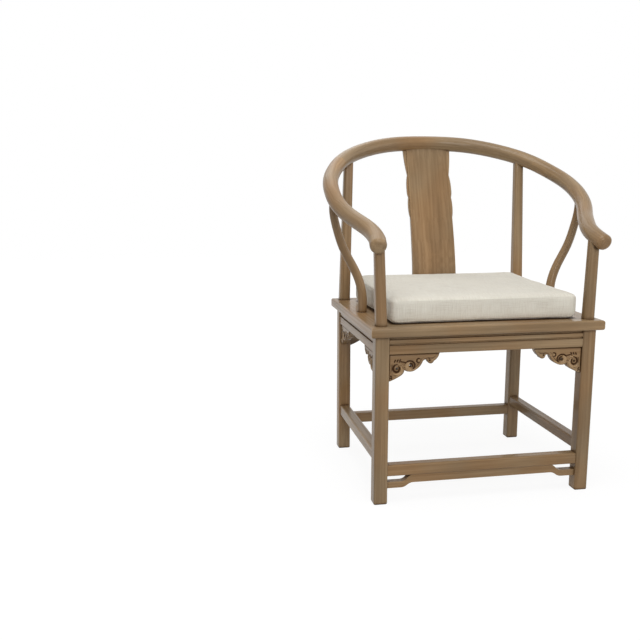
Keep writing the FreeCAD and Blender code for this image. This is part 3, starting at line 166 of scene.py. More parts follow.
class ArmchairCushion(bpy.types.PropertyGroup):
    """Shape and linen of the loose seat cushion."""
    shrink: bpy.props.FloatProperty(
        name="Start inset", description="How much smaller the pad starts before it swells", default=2.0 * MM,
        unit="LENGTH")
    height: bpy.props.FloatProperty(
        name="Height", description="Height of the crown over the front edge's foot", default=67.0 * MM,
        unit="LENGTH")
    slope: bpy.props.FloatProperty(
        name="Rise", description="Rise of the top from front to back", default=12.0 * MM, unit="LENGTH")
    corner: bpy.props.FloatProperty(
        name="Corner", description="Rounding of the corners seen from above", default=15.0 * MM,
        unit="LENGTH")
    pull: bpy.props.FloatProperty(
        name="Drawn-in sides", description="How far the sides are drawn in between the corners",
        default=3.5 * MM, unit="LENGTH")
    voxel: bpy.props.FloatProperty(
        name="Mesh size", description="Mesh size of the simulated pad", default=5.0 * MM, unit="LENGTH")
    pressure: bpy.props.FloatProperty(
        name="Pressure", description="Inner pressure of the stuffed pad", default=4.0)
    cap: bpy.props.FloatProperty(
        name="Swelling cap", description="Furthest a point may move", default=3.5 * MM, unit="LENGTH")
    welt: bpy.props.FloatProperty(
        name="Seam welt", description="Radius of the seam along the box edges", default=1.1 * MM,
        unit="LENGTH")
    thread: bpy.props.FloatProperty(
        name="Thread spacing", description="Spacing of the linen threads, drawn coarse enough to show",
        default=1.6 * MM, unit="LENGTH")
    linen: bpy.props.FloatVectorProperty(
        name="Linen", description="Tone of the unbleached linen", subtype="COLOR", size=3,
        default=linear("#EFEBDE")[:3])
    slub: bpy.props.FloatVectorProperty(
        name="Slub", description="Tone of thicker threads", subtype="COLOR", size=3,
        default=linear("#D2C9B8")[:3])


class ArmchairStudio(bpy.types.PropertyGroup):
    """Camera and lights of the white studio."""
    eye: bpy.props.FloatVectorProperty(
        name="Camera", description="Place of the camera from the seat's middle, on the floor", size=3,
        default=(-0.7494, -2.0131, 0.7989), subtype="TRANSLATION")
    turn: bpy.props.FloatVectorProperty(
        name="Camera turn", description="Tilt, roll and heading of the camera", size=3, subtype="EULER",
        default=(math.radians(79.784), 0.0, math.radians(-10.417)))
    lens: bpy.props.FloatProperty(
        name="Focal length", description="Focal length on a 36 mm wide sensor, in millimetres",
        default=44.204)
    overhead: bpy.props.FloatProperty(
        name="Overhead light", description="Power of the softbox over the chair", default=31.0, unit="POWER")
    key: bpy.props.FloatProperty(
        name="Key light", description="Power of the light in front of the chair", default=25.0, unit="POWER")
    fill: bpy.props.FloatProperty(
        name="Fill light", description="Power of the light at the right", default=11.5, unit="POWER")
    rim: bpy.props.FloatProperty(
        name="Rim light", description="Power of the light behind the chair", default=8.0, unit="POWER")
    sky: bpy.props.FloatProperty(
        name="Surround", description="Strength of the white surround", default=0.38)


def run_lengths(path):
    """How far along a path each of its points lies."""
    return np.concatenate([[0], np.cumsum(np.linalg.norm(np.diff(path, axis=0), axis=1))])


# Points whose distances from a line are worked out at once, so that the table of distances stays small.
BLOCK = 4000


def run_values(points, line):
    """Place of each point along a centre line, and its offset to the side and upward of it."""
    # The line with twelve even steps between its given points.
    step = np.linspace(0, 1, 12, endpoint=False)[:, None]
    fine = np.concatenate([a * (1 - step) + b * step for a, b in zip(line, line[1:])] + [line[-1:]])
    lengths = run_lengths(fine)
    runs = np.gradient(fine, axis=0)
    runs /= np.linalg.norm(runs, axis=1)[:, None]
    values = np.empty((len(points), 3))
    for start in range(0, len(points), BLOCK):
        part = points[start:start + BLOCK]
        nearest = np.argmin(np.linalg.norm(part[:, None, :] - fine[None], axis=2), axis=1)
        away = part - fine[nearest]
        run = runs[nearest]
        side = np.cross(run, [0, 0, 1.0])
        side /= np.linalg.norm(side, axis=1)[:, None] + 1e-9
        rise = np.cross(side, run)
        values[start:start + BLOCK] = np.column_stack([
            lengths[nearest] + np.sum(away * run, axis=1), np.sum(away * side, axis=1),
            np.sum(away * rise, axis=1)])
    return values


def seat_middle():
    """How far the seat's middle stands behind the frame's origin."""
    low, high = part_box("seat_panel")
    return (low.y + high.y) / 2


def drift(height, place):
    """Middle of a bent upright member at each height, read off its own points."""
    step = 10 * MM
    level = np.round(height / step).astype(int)
    levels = np.unique(level)
    middles = [(place[level == k].min() + place[level == k].max()) / 2 for k in levels]
    return np.interp(height, levels * step, middles)


def grain_values(name, points):
    """Coordinates of a member's grain: along it, across it and through it, in metres."""
    height = points[:, 2]
    right = np.column_stack([np.abs(points[:, 0]), points[:, 1] - seat_middle(), height])
    if name.startswith(("crest_back", "crest_arm")):
        values = run_values(right, RAIL_LINE)
        values[:, 0] *= np.where(points[:, 0] < 0, -1, 1)
        return values
    if name.startswith("side_post"):
        across, forward, rise = SIDE_POST_LINE.T
        return np.column_stack([
            height, right[:, 0] - np.interp(height, rise, across),
            right[:, 1] - np.interp(height, rise, forward)])
    if name.startswith(("back_splat", "splat_wing")):
        return np.column_stack([height, points[:, 0], points[:, 1] - drift(height, points[:, 1])])
    if name.startswith(("front_leg", "rear_leg")):
        return np.column_stack([height] + [points[:, k] - drift(height, points[:, k]) for k in (0, 1)])
    if "spandrel" in name:
        order = [1, 2, 0] if name.startswith("side") else [0, 2, 1]
        return points[:, order].copy()
    # Straight members: the grain runs along the longest side.
    extent = points.max(axis=0) - points.min(axis=0)
    main = int(np.argmax(extent))
    others = [k for k in range(3) if k != main]
    return points[:, [main] + others].copy()


def coordinates(mesh):
    """A mesh's points, one in each row."""
    flat = np.zeros(len(mesh.vertices) * 3)
    mesh.vertices.foreach_get("co", flat)
    return flat.reshape(-1, 3)


def set_grain(mesh, name, seed):
    """Stores the grain coordinates on a mesh, each member with its own piece of the tree."""
    values = grain_values(name, coordinates(mesh))
    shift = np.random.default_rng(seed).uniform(-5, 5, 3)
    layer = mesh.attributes.get("grain_run") or mesh.attributes.new("grain_run", "FLOAT_VECTOR", "POINT")
    layer.data.foreach_set("vector", (values + shift).ravel())


# Length of the wood's figure along the grain.
BAND_LONG = 900 * MM
STREAK_LONG = 380 * MM
HAIR_LONG = 160 * MM


def wood_material(name, settings, gain, shade_and_polish_reach, shade_and_polish_share):
    """Oiled elm: grain streaks and open pores along each member, rubbed edges, ridges lightened as rubbed
    wood and painted highlight, and hollows darkened as old polish and painted shade.
    """
    light, middle, dark = (
        [value * gain for value in tone] + [1.0] for tone in (settings.light, settings.middle, settings.dark))
    bright = [value * gain * 1.25 for value in settings.light] + [1.0]
    polish_and_shade = list(settings.polish_and_shade) + [1.0]
    material, tree = new_material(name)
    grain = add(tree, "ShaderNodeAttribute", {"attribute_name": "grain_run"})["Vector"]
    # The grain wanders a few millimetres over the length of a member.
    slow = add(tree, "ShaderNodeVectorMath", {"operation": "MULTIPLY"}, {0: grain, 1: (1.6, 6, 6)})[0]
    sway = add(tree, "ShaderNodeTexNoise", {}, {"Vector": slow, "Scale": 1.0, "Detail": 1.0})["Color"]
    swayed = add(
        tree, "ShaderNodeVectorMath", {"operation": "MULTIPLY_ADD"},
        {0: sway, 1: (0, settings.wander, settings.wander), 2: grain})[0]
    # Bands a few centimetres wide, streaks a few millimetres wide, and hair lines of about a millimetre: the
    # pores of elm are finer than that and are drawn this coarse to show.
    band, streak, hair = (
        drawn_out(tree, swayed, (1 / along, 1 / across, 1 / across), detail, 0.5)
        for along, across, detail in (
            (BAND_LONG, 10 * settings.streak, 2.0), (STREAK_LONG, 1.8 * settings.streak, 3.0),
            (HAIR_LONG, 2 * settings.pore, 2.0)))
    # Growth rings, cut lengthwise: the sine of the slow bands gives nested lines about a centimetre apart.
    turned = add(tree, "ShaderNodeMath", {"operation": "MULTIPLY"}, {0: band, 1: 42.0})[0]
    rings = add(tree, "ShaderNodeMath", {"operation": "SINE"}, {0: turned})[0]
    # Slow changes of tone and hue along a board and from member to member, and the waves that a plane leaves.
    patch, cool, planed = (
        add(tree, "ShaderNodeTexNoise", {}, {"Vector": vector, "Scale": scale, "Detail": detail})["Fac"]
        for vector, scale, detail in ((slow, 2.3, 2.0), (grain, 6.5, 1.0), (grain, 42.0, 2.0)))
    # Edges are where the rounded normal turns away from the flat one.
    rounded = add(tree, "ShaderNodeBevel", {"samples": 6}, {"Radius": settings.edge})[0]
    flat = add(tree, "ShaderNodeNewGeometry")["Normal"]
    facing = add(tree, "ShaderNodeVectorMath", {"operation": "DOT_PRODUCT"}, {0: rounded, 1: flat})["Value"]
    # Painted shade: ambient occlusion darkens corners, joints and hollows toward the glaze colour, as old
    # polish and as the shade that falls there.
    hollow_shade = add(tree, "ShaderNodeAmbientOcclusion", {"samples": 8}, {"Distance": shade_and_polish_reach})["AO"]
    # How much each trait shows: what it follows, where that starts and ends, and the shares there.
    share = {}
    for trait, value, start, end, first, last in (
        ("middle", streak, 0.3, 0.68, 0.12, 0.88),
        ("band", band, 0.42, 0.68, 0.0, 0.3),
        ("ring", rings, 0.2, 1.0, 0.0, 0.11),
        ("pore", hair, 0.50, 0.74, 0.0, 0.3),
        ("pore depth", hair, 0.54, 0.72, 0.0, 1.0),
        ("Hue", cool, 0.3, 0.7, 0.4955, 0.5045),
        ("Value", patch, 0.3, 0.7, 0.86, 1.14),
        ("Saturation", cool, 0.3, 0.7, 1.06, 0.92),
        ("edge", facing, 0.995, 0.86, 0.0, 0.35),
        ("hollow_shade", hollow_shade, 0.9, 0.35, 0.0, shade_and_polish_share),
        ("roughness", streak, 0.3, 0.7, 0.32, 0.44),
    ):
        span = {"Value": value, "From Min": start, "From Max": end, "To Min": first, "To Max": last}
        share[trait] = add(tree, "ShaderNodeMapRange", {"interpolation_type": "SMOOTHSTEP"}, span)["Result"]
    colour = light
    for trait, tone in (("middle", middle), ("band", dark), ("ring", dark), ("pore", dark)):
        colour = add(tree, "ShaderNodeMix", {"data_type": "RGBA"}, {0: share[trait], 6: colour, 7: tone})[2]
    shift = {name: share[name] for name in ("Hue", "Value", "Saturation")}
    colour = add(tree, "ShaderNodeHueSaturation", {}, {**shift, "Color": colour})[0]
    # Carved plates carry how deep they are cut, and below zero how far a ridge stands proud. Edges are rubbed
    # bright; ridges are lightened as rubbed wood and painted highlight. Hollows, joints and cuts are darkened
    # as old polish and painted shade.
    carved = add(tree, "ShaderNodeAttribute", {"attribute_name": "carved_depth"})["Fac"]
    proud = add(tree, "ShaderNodeMath", {"operation": "MULTIPLY"}, {0: carved, 1: -0.9})[0]
    rubbed_and_highlit, polished_and_shaded = (
        add(tree, "ShaderNodeMath", {"operation": "MAXIMUM"}, {0: share[trait], 1: other})[0]
        for trait, other in (("edge", proud), ("hollow_shade", carved)))
    for amount, tone in ((rubbed_and_highlit, bright), (polished_and_shaded, polish_and_shade)):
        colour = add(tree, "ShaderNodeMix", {"data_type": "RGBA"}, {0: amount, 6: colour, 7: tone})[2]
    # The wood has the low shine of oil, and the hollows darkened by old polish and painted shade are dull.
    rough, shine = (
        add(tree, "ShaderNodeMath", {"operation": "MULTIPLY_ADD"}, {0: polished_and_shaded, 1: change, 2: plain})[0]
        for change, plain in ((0.3, share["roughness"]), (-0.3, 0.32)))
    soft_bump = add(tree, "ShaderNodeBump", {}, {"Height": planed, "Distance": 0.5 * MM, "Strength": 0.25})[0]
    pores = {"Height": share["pore depth"], "Distance": 0.12 * MM, "Strength": 0.5, "Normal": soft_bump}
    pore_bump = add(tree, "ShaderNodeBump", {"invert": True}, pores)[0]
    finish = {
        "Base Color": colour, "Roughness": rough, "IOR": 1.5, "Specular IOR Level": 0.12,
        "Coat Weight": shine, "Coat Roughness": 0.14, "Normal": pore_bump}
    shader = add(tree, "ShaderNodeBsdfPrincipled", {}, finish)[0]
    add(tree, "ShaderNodeOutputMaterial", {}, {"Surface": shader})
    return material


class ARMCHAIR_OT_wood(bpy.types.Operator):
    """Give every wooden member its run of grain and its oiled elm finish"""
    bl_idname = "armchair.wood"
    bl_label = "Finish the wood"

    def execute(self, context):
        settings = context.scene.armchair_wood
        # Brightness, how far from a corner the darkening of old polish and painted shade reaches, and how
        # strong it is there.
        frame_wood = wood_material("elm_oiled_frame", settings, 0.94, 13 * MM, 0.9)
        carved_wood = wood_material("elm_oiled_carved", settings, 0.92, 5 * MM, 0.9)
        board_wood = wood_material("elm_oiled_board", settings, 0.8, 12 * MM, 0.6)
        for seed, (name, obj) in enumerate(sorted(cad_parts.items())):
            if name.startswith("cushion"):
                continue
            if "spandrel" in name or "splat_wing" in name:
                chosen = carved_wood
            elif name.startswith(("seat_panel", "seat_batten")):
                chosen = board_wood
            else:
                chosen = frame_wood
            obj.data.materials.clear()
            obj.data.materials.append(chosen)
            set_grain(obj.data, name, seed + 11)
        return {"FINISHED"}


# Carving: scrolls, leaves and a rim line in low relief on the outer face of every spandrel. Its places are in
# millimetres from the leg and below the apron.

# Height of the plain face, of the deepest cut and of the plate's back over the spandrel's wood.
FACE = 2.2
GROUND = 0.25
BACK = -0.05
# Middles of the scrolls and the knob.
NEAR_EYE = (19.35, 36.2)
FAR_EYE = (53.4, 30.2)
KNOB = (74.5, 18.2)
# Spacing of the plate's points, that of their rows as a share of it, and how far they keep from the border.
SPACING = 0.95
ROW_SHARE = 0.87
BORDER_GAP = 0.45
# How far the plate's border stays inside the spandrel's outline.
INSET = 0.15
# How dark cuts and the plate's back look, as painted shade with old polish, how bright ridges look, as
# painted highlight with rubbed wood, and the depth and height of the full tone.
CUT_SHADE_TONE = 0.96
BACK_SHADE_TONE = 0.8
RIDGE_RUB_HIGHLIGHT_TONE = 0.9
CUT_DEEP = 1.5
RIDGE_HIGH = 1.6
# Leaves over the near scroll and at the foot of the spandrel: light veins stay between the cuts. Each row is
# the first cut's start, its run, the step to the next cut and the number of cuts.
LEAVES = (((13.0, 20.5), (3.2, -6.6), (6.4, -0.5), 3), ((3.8, 53.0), (3.4, 4.0), (0.4, 5.4), 2))


def arc(start, middle, end, count):
    """Points of the circular arc through three points, without its first one."""
    a, b, c = (complex(*point) for point in (start, middle, end))
    ratio = (c - a) / (b - a)
    centre = a + (b - a) * (ratio - abs(ratio) ** 2) / (2j * ratio.imag)
    turn = cmath.phase((b - centre) / (a - centre)) + cmath.phase((c - centre) / (b - centre))
    points = [centre + (a - centre) * cmath.exp(1j * turn * k / count) for k in range(1, count + 1)]
    return [(point.real, point.imag) for point in points]


def spread(points, spacing):
    """The same path with points at an even spacing."""
    path = np.array(points, float)
    lengths = run_lengths(path)
    count = max(2, int(round(lengths[-1] / spacing)) + 1)
    at = np.linspace(0, lengths[-1], count)
    return np.column_stack([np.interp(at, lengths, row) for row in path.T])


def carved_edge():
    """The carved lower edge of the large spandrel, from the leg to the far tip, in millimetres."""
    size = (SPANDREL_WIDE, SPANDREL_HIGH)
    points = [np.multiply(OUTLINE_START_SHARE, size)]
    for end, middle in OUTLINE_SHARES:
        points += arc(points[-1], np.multiply(middle, size), np.multiply(end, size), 14)
    return points


def scroll(centre, inner, outer, turns, phase, stretch=1.0, tail=()):
    """Centre line of a scroll that unwinds from its eye and runs on through the tail's points."""
    steps = np.linspace(0, 1, 70)
    radius = inner + (outer - inner) * steps ** 0.9
    angle = math.radians(phase) - 2 * math.pi * turns * steps
    points = np.column_stack([radius * np.cos(angle), stretch * radius * np.sin(angle)]) + centre
    return np.concatenate([points, np.array(tail, float).reshape(-1, 2)])


def reach(points, path):
    """Distance of points from a path, and how far along the path the nearest place is."""
    best = np.full(len(points), 1e9)
    share = np.zeros(len(points))
    count = len(path) - 1
    for k in range(count):
        run = path[k + 1] - path[k]
        along = np.clip(((points - path[k]) @ run) / (run @ run + 1e-12), 0, 1)
        away = np.linalg.norm(points - path[k] - along[:, None] * run, axis=1)
        nearer = away < best
        best[nearer] = away[nearer]
        share[nearer] = (k + along[nearer]) / count
    return best, share


def groove(height, points, path, half, deep):
    """Cuts a rounded groove along a path, deepest in its middle and running out at both ends."""
    away, share = reach(points, path)
    end = np.clip(np.minimum(share, 1 - share) / 0.12, 0, 1)
    width = half * (0.45 + 0.55 * end)
    return height - deep * (0.6 + 0.4 * end) * np.clip(1 - (away / width) ** 2, 0, 1) ** 0.8


def mound(height, points, path, half, rise):
    """Raises a rounded band along a path over the plain face."""
    away, share = reach(points, path)
    width = half * (0.35 + 0.65 * np.sin(math.pi * np.clip(share, 0.05, 0.95)))
    return height + rise * np.sqrt(np.clip(1 - (away / width) ** 2, 0, 1))


def bands():
    """Rounded bands of the scrolls, the knob and the leaves: centre line, half width and rise."""
    return (
        (scroll(NEAR_EYE, 12.4, 13.8, -0.55, -75, 1.05), 4.4, 2.2),
        (scroll(FAR_EYE, 8.4, 9.5, 0.55, 250), 5.6, 2.2),
        (scroll(KNOB, 0.2, 0.6, 0.5, 0), 3.4, 1.8),
        (np.array([(10.0, 57.0), (22.0, 54.5), (30.0, 47.0), (34.5, 40.0)]), 2.6, 1.2),
        (np.array([(44.0, 43.0), (58.0, 44.5), (70.0, 36.0), (77.0, 26.0)]), 2.6, 1.2),
        (np.array([(104.0, 21.5), (110.0, 16.5), (117.0, 10.0)]), 2.4, 1.2),
    )


def grooves():
    """Grooves around and inside the scrolls and along the leaves: centre line, half width and depth."""
    cuts = [
        (scroll(NEAR_EYE, 6.6, 9.4, -0.86, -50, 1.05, [(26.0, 21.0)]), 2.9, 3.0),
        (scroll(FAR_EYE, 14.6, 10.0, -0.62, 205, 0.92), 2.3, 3.0),
        (scroll(FAR_EYE, 6.2, 5.8, -0.42, 250), 2.5, 3.0),
        (scroll(KNOB, 5.0, 5.4, -0.66, 70), 1.9, 2.4),
        (np.array([(28.0, 19.0), (35.0, 20.5), (41.5, 21.5)]), 1.9, 2.4),
        (np.array([(26.0, 25.5), (31.0, 29.0), (34.5, 35.5)]), 1.8, 2.2),
        (np.array([(101.0, 17.0), (103.0, 20.5)]), 2.3, 2.3),
        (np.array([(88.0, 14.0), (96.0, 13.0), (110.0, 13.4), (119.0, 8.0)]), 1.3, 1.4),
        (np.array([(7.5, 26.0), (7.2, 34.0), (7.6, 43.0)]), 1.3, 1.6),
    ]
    for start, run, step, count in LEAVES:
        for k in range(count):
            first = np.array(start) + k * np.array(step)
            cuts.append((np.array([first, first + np.array(run)]), 2.1, 2.8))
    return cuts


def relief(points):
    """Height of the carving over the spandrel's wood."""
    height = np.full(len(points), FACE)
    away, _ = reach(points, spread(carved_edge(), 1.0))
    # The lower edge is rounded, and a line is cut beside it that leaves a broad rim.
    height -= 1.0 * np.clip(1 - away / 1.8, 0, 1) ** 2
    height -= 1.1 * np.clip(1 - ((away - 6.6) / 1.3) ** 2, 0, 1) * np.clip((points[:, 1] - 9) / 4, 0, 1)
    # The joints with the apron and the leg stay open as fine hollows.
    height -= 2.0 * np.clip(1.3 - points[:, 1] / 4.0, 0, 1)
    height -= 1.6 * np.clip(1.2 - points[:, 0] / 2.4, 0, 1)
    for path, half, rise in bands():
        height = mound(height, points, path, half, rise)
    for path, half, deep in grooves():
        height = groove(height, points, path, half, deep)
    return np.maximum(height, GROUND)


def inside(points, loop):
    """Which points lie inside a closed loop."""
    result = np.zeros(len(points), bool)
    following = np.roll(loop, -1, axis=0)
    for (ax, ay), (bx, by) in zip(loop, following):
        crosses = (ay > points[:, 1]) != (by > points[:, 1])
        at = ax + (points[:, 1] - ay) * (bx - ax) / (by - ay if by != ay else 1e-12)
        result ^= crosses & (points[:, 0] < at)
    return result


def shrink(loop, distance):
    """Moves a closed loop's points toward its inside, or outward for a negative distance."""
    run = np.roll(loop, -1, axis=0) - np.roll(loop, 1, axis=0)
    run /= np.linalg.norm(run, axis=1)[:, None] + 1e-12
    normal = np.column_stack([-run[:, 1], run[:, 0]])
    area = np.sum(loop[:, 0] * np.roll(loop[:, 1], -1) - np.roll(loop[:, 0], -1) * loop[:, 1])
    return loop + normal * distance * math.copysign(1, area)


def loop_edges(sizes):
    """Pairs of neighbouring points in closed loops that are numbered one after the other."""
    edges = []
    start = 0
    for size in sizes:
        edges += [(start + k, start + (k + 1) % size) for k in range(size)]
        start += size
    return edges


def within(points, loops):
    """Which points lie inside the first loop and outside the others."""
    result = inside(points, loops[0])
    for loop in loops[1:]:
        result &= ~inside(points, loop)
    return result


def triangles(points, loops):
    """Triangles between points, inside the first loop and outside the others."""
    edges = loop_edges([len(loop) for loop in loops])
    result = delaunay_2d_cdt([Vector(p) for p in points], edges, [], 0, 1e-5, True)
    places = np.array([tuple(p) for p in result[0]])
    faces = np.array(result[2])
    return places, faces[within(places[faces].mean(axis=1), loops)]


def carving_mesh():
    """The relief of the large spandrel as a closed plate: u from the leg, v down, height outward."""
    edge = carved_edge()
    corners = [(0.985 * SPANDREL_WIDE, 0.04 * SPANDREL_HIGH), (SPANDREL_WIDE, 0.0), (0.0, 0.0)]
    rim = np.concatenate([
        spread(path, SPACING)[:-1] for path in (edge, corners, [(0.0, 0.0), edge[0]])])
    rim = shrink(rim, INSET)
    turns = np.linspace(0, 2 * math.pi, 30, endpoint=False)
    circle = np.column_stack([np.cos(turns), np.sin(turns)])
    holes = [np.array([u, v]) + (radius + INSET) * circle for u, v, radius in (FAR_HOLE, NEAR_HOLE)]
    loops = [rim] + holes
    # Points in staggered rows over the face, without those outside it, in the holes or close to a border.
    grid = np.array([
        (SPACING * k + row % 2 * SPACING / 2, row * SPACING * ROW_SHARE)
        for row in range(int(SPANDREL_HIGH / (SPACING * ROW_SHARE)) + 1)
        for k in range(int(SPANDREL_WIDE / SPACING) + 1)])
    kept = within(grid, loops)
    for loop in loops:
        kept &= reach(grid, np.concatenate([loop, loop[:1]]))[0] > BORDER_GAP
    border = np.concatenate(loops)
    front, front_faces = triangles(np.concatenate([border, grid[kept]]), loops)
    back, back_faces = triangles(border, loops)
    count = len(front)
    vertices = np.concatenate([
        np.column_stack([front, relief(front)]), np.column_stack([back, np.full(len(back), BACK)])])
    faces = front_faces.tolist() + (back_faces[:, ::-1] + count).tolist()
    # Walls join the front's border to the back's.
    faces += [(a, b, count + b, count + a) for a, b in loop_edges([len(loop) for loop in loops])]
    # Depth for the finish, which darkens cuts as painted shade and old polish and lightens ridges as painted
    # highlight and rubbed wood: above zero in cuts, below zero on ridges, and the plate's back counts as a
    # cut, so the plate's walls, also those in the pierced holes, are darkened too.
    below = np.clip((FACE - 0.2 - vertices[:, 2]) / CUT_DEEP, 0, 1)
    above = np.clip((vertices[:, 2] - FACE) / RIDGE_HIGH, 0, 1)
    depth = CUT_SHADE_TONE * below - RIDGE_RUB_HIGHLIGHT_TONE * above
    depth[count:] = BACK_SHADE_TONE
    return vertices, depth, faces


class ARMCHAIR_OT_carving(bpy.types.Operator):
    """Carve the scrolls, the leaves and the rim line on the outer face of every spandrel"""
    bl_idname = "armchair.carving"
    bl_label = "Carve the spandrels"

    def execute(self, context):
        plate, depth, faces = carving_mesh()
        # The solid also has a tongue that goes up into the apron.
        tongue = 5 * MM
        full_depth = SPANDREL_HIGH * OUTLINE_START_SHARE[1] * MM
        for seed, name in enumerate(sorted(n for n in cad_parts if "spandrel" in n)):
            low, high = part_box(name)
            wide = "side" not in name
            along, across = (0, 1) if wide else (1, 0)
            at_low_leg = name.endswith("left" if wide else "front")
            leg, inward = (low[along], 1) if at_low_leg else (high[along], -1)
            faces_low = name.startswith(("front", "side_spandrel_left"))
            face, outward = (low[across], -1) if faces_low else (high[across], 1)
            top = high.z - tongue
            places = np.empty_like(plate)
            places[:, along] = leg + inward * plate[:, 0] * (high[along] - low[along]) / SPANDREL_WIDE
            places[:, across] = face + outward * plate[:, 2] * MM
            places[:, 2] = top - plate[:, 1] * MM * (top - low.z) / full_depth
            mesh = bpy.data.meshes.new("carving_" + name)
            mesh.from_pydata(places.tolist(), [], faces)
            shape = bmesh.new()
            shape.from_mesh(mesh)
            bmesh.ops.recalc_face_normals(shape, faces=shape.faces)
            # The carved face is smooth, and its walls stay flat.
            for item in shape.faces:
                item.smooth = len(item.verts) == 3
            shape.to_mesh(mesh)
            shape.free()
            set_grain(mesh, name, seed + 301)
            # The depth paints shade with old polish into the cuts and highlight with rubbed wood onto the
            # ridges.
            mesh.attributes.new("carved_depth", "FLOAT", "POINT").data.foreach_set("value", depth)
            mesh.materials.append(bpy.data.materials["elm_oiled_carved"])
            carving = new_object("carving_" + name, mesh)
            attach(carving, "chair")
        return {"FINISHED"}


# Cushion: the pad is a lofted form with drawn-in sides that swells under pressure, then gets its seams.

# Rings of the pad from its underside to its crown: share of the height, and inset in millimetres.
PAD_RINGS = (
    (0.0, 16.0), (0.025, 8.4), (0.06, 4.0), (0.12, 1.0), (0.2, 0.0), (0.3, 0.0), (0.55, 0.0), (0.80, 0.0),
    (0.855, 0.8), (0.895, 3.2), (0.925, 8.6), (0.945, 20.0), (0.965, 47.0), (0.985, 100.0), (1.0, 160.0),
)
PAD_POINTS = 200
CORNER_STEPS = 8
# Seams: share of the height, and how deep the welt lies in the cloth as a share of its radius.
SEAMS = ((0.885, 0.45), (0.03, 0.4))
SEAM_POINTS = 360
CLOTH_STEPS = 20


def pad_ring(half_x, half_y, corner, pull, count):
    """A rounded rectangle whose sides are drawn in between its corners."""
    points = []
    for k, (sx, sy) in enumerate(((1, -1), (1, 1), (-1, 1), (-1, -1))):
        middle = (sx * (half_x - corner), sy * (half_y - corner))
        for step in range(CORNER_STEPS + 1):
            turn = math.pi / 2 * (k - 1 + step / CORNER_STEPS)
            points.append((middle[0] + corner * math.cos(turn), middle[1] + corner * math.sin(turn)))
    points.append(points[0])
    path = np.array(points)
    lengths = run_lengths(path)
    at = np.linspace(0, lengths[-1], count, endpoint=False)
    ring = np.column_stack([np.interp(at, lengths, row) for row in path.T])
    share = np.clip(np.abs(ring) / (half_x, half_y), 0, 1)
    on_side = share[:, 0] > share[:, 1]
    drawn = pull * (1 - share.min(axis=1) ** 2)
    return ring - np.sign(ring) * drawn[:, None] * np.column_stack([on_side, ~on_side])


def cushion_mesh(low, high, settings):
    """A crowned pad: rings from the flat underside over upright sides to the crown, higher at the back."""
    inset = settings.shrink
    half_x = (high.x - low.x) / 2 - inset
    half_y = (high.y - low.y) / 2 - inset
    middle = (low + high) / 2
    mesh = bmesh.new()
    rings = []
    for share, drawn in PAD_RINGS:
        away = drawn * MM
        ring = pad_ring(half_x - away, half_y - away, settings.corner, settings.pull, PAD_POINTS)
        z = low.z + inset * 0.4 + share * (settings.height - inset)
        rise = share * settings.slope * (ring[:, 1] + half_y) / (2 * half_y)
        rings.append([
            mesh.verts.new((middle.x + x, middle.y + y, z + up)) for (x, y), up in zip(ring, rise)])
    for lower, upper in zip(rings, rings[1:]):
        for a, b in loop_edges([PAD_POINTS]):
            mesh.faces.new((lower[a], lower[b], upper[b], upper[a]))
    mesh.faces.new(list(reversed(rings[0])))
    mesh.faces.new(rings[-1])
    bmesh.ops.triangulate(mesh, faces=[f for f in mesh.faces if len(f.verts) > 4])
    bmesh.ops.recalc_face_normals(mesh, faces=mesh.faces)
    data = bpy.data.meshes.new("cushion_pad")
    mesh.to_mesh(data)
    mesh.free()
    return data


def apply_modifiers(obj):
    """Bakes an object's modifiers into a plain mesh."""
    context = bpy.context
    context.view_layer.update()
    shaped = obj.evaluated_get(context.evaluated_depsgraph_get())
    mesh = bpy.data.meshes.new_from_object(shaped)
    obj.modifiers.clear()
    old = obj.data
    obj.data = mesh
    bpy.data.meshes.remove(old)


def swell(obj, settings, low):
    """Stuffs the pad: cloth under pressure, with each point's travel capped and none below the seat."""
    remesh = obj.modifiers.new("Even mesh", "REMESH")
    remesh.mode = "VOXEL"
    remesh.voxel_size = settings.voxel
    apply_modifiers(obj)
    start = coordinates(obj.data)
    cloth = obj.modifiers.new("Stuffing", "CLOTH")
    cloth.settings.use_pressure = True
    cloth.settings.uniform_pressure_force = settings.pressure
    cloth.settings.tension_stiffness = 12
    cloth.settings.compression_stiffness = 12
    cloth.settings.bending_stiffness = 2.5
    cloth.settings.effector_weights.gravity = 0
    cloth.point_cache.frame_start = 1
    cloth.point_cache.frame_end = CLOTH_STEPS
    scene = bpy.context.scene
    for moment in range(1, CLOTH_STEPS + 1):
        scene.frame_set(moment)
    apply_modifiers(obj)
    scene.frame_set(1)
    moved = coordinates(obj.data) - start
    far = np.linalg.norm(moved, axis=1)[:, None] + 1e-9
    moved *= np.minimum(1, settings.cap / far)
    shaped = start + moved
    shaped[:, 2] = np.maximum(shaped[:, 2], low)
    obj.data.vertices.foreach_set("co", shaped.ravel())
    obj.data.update()


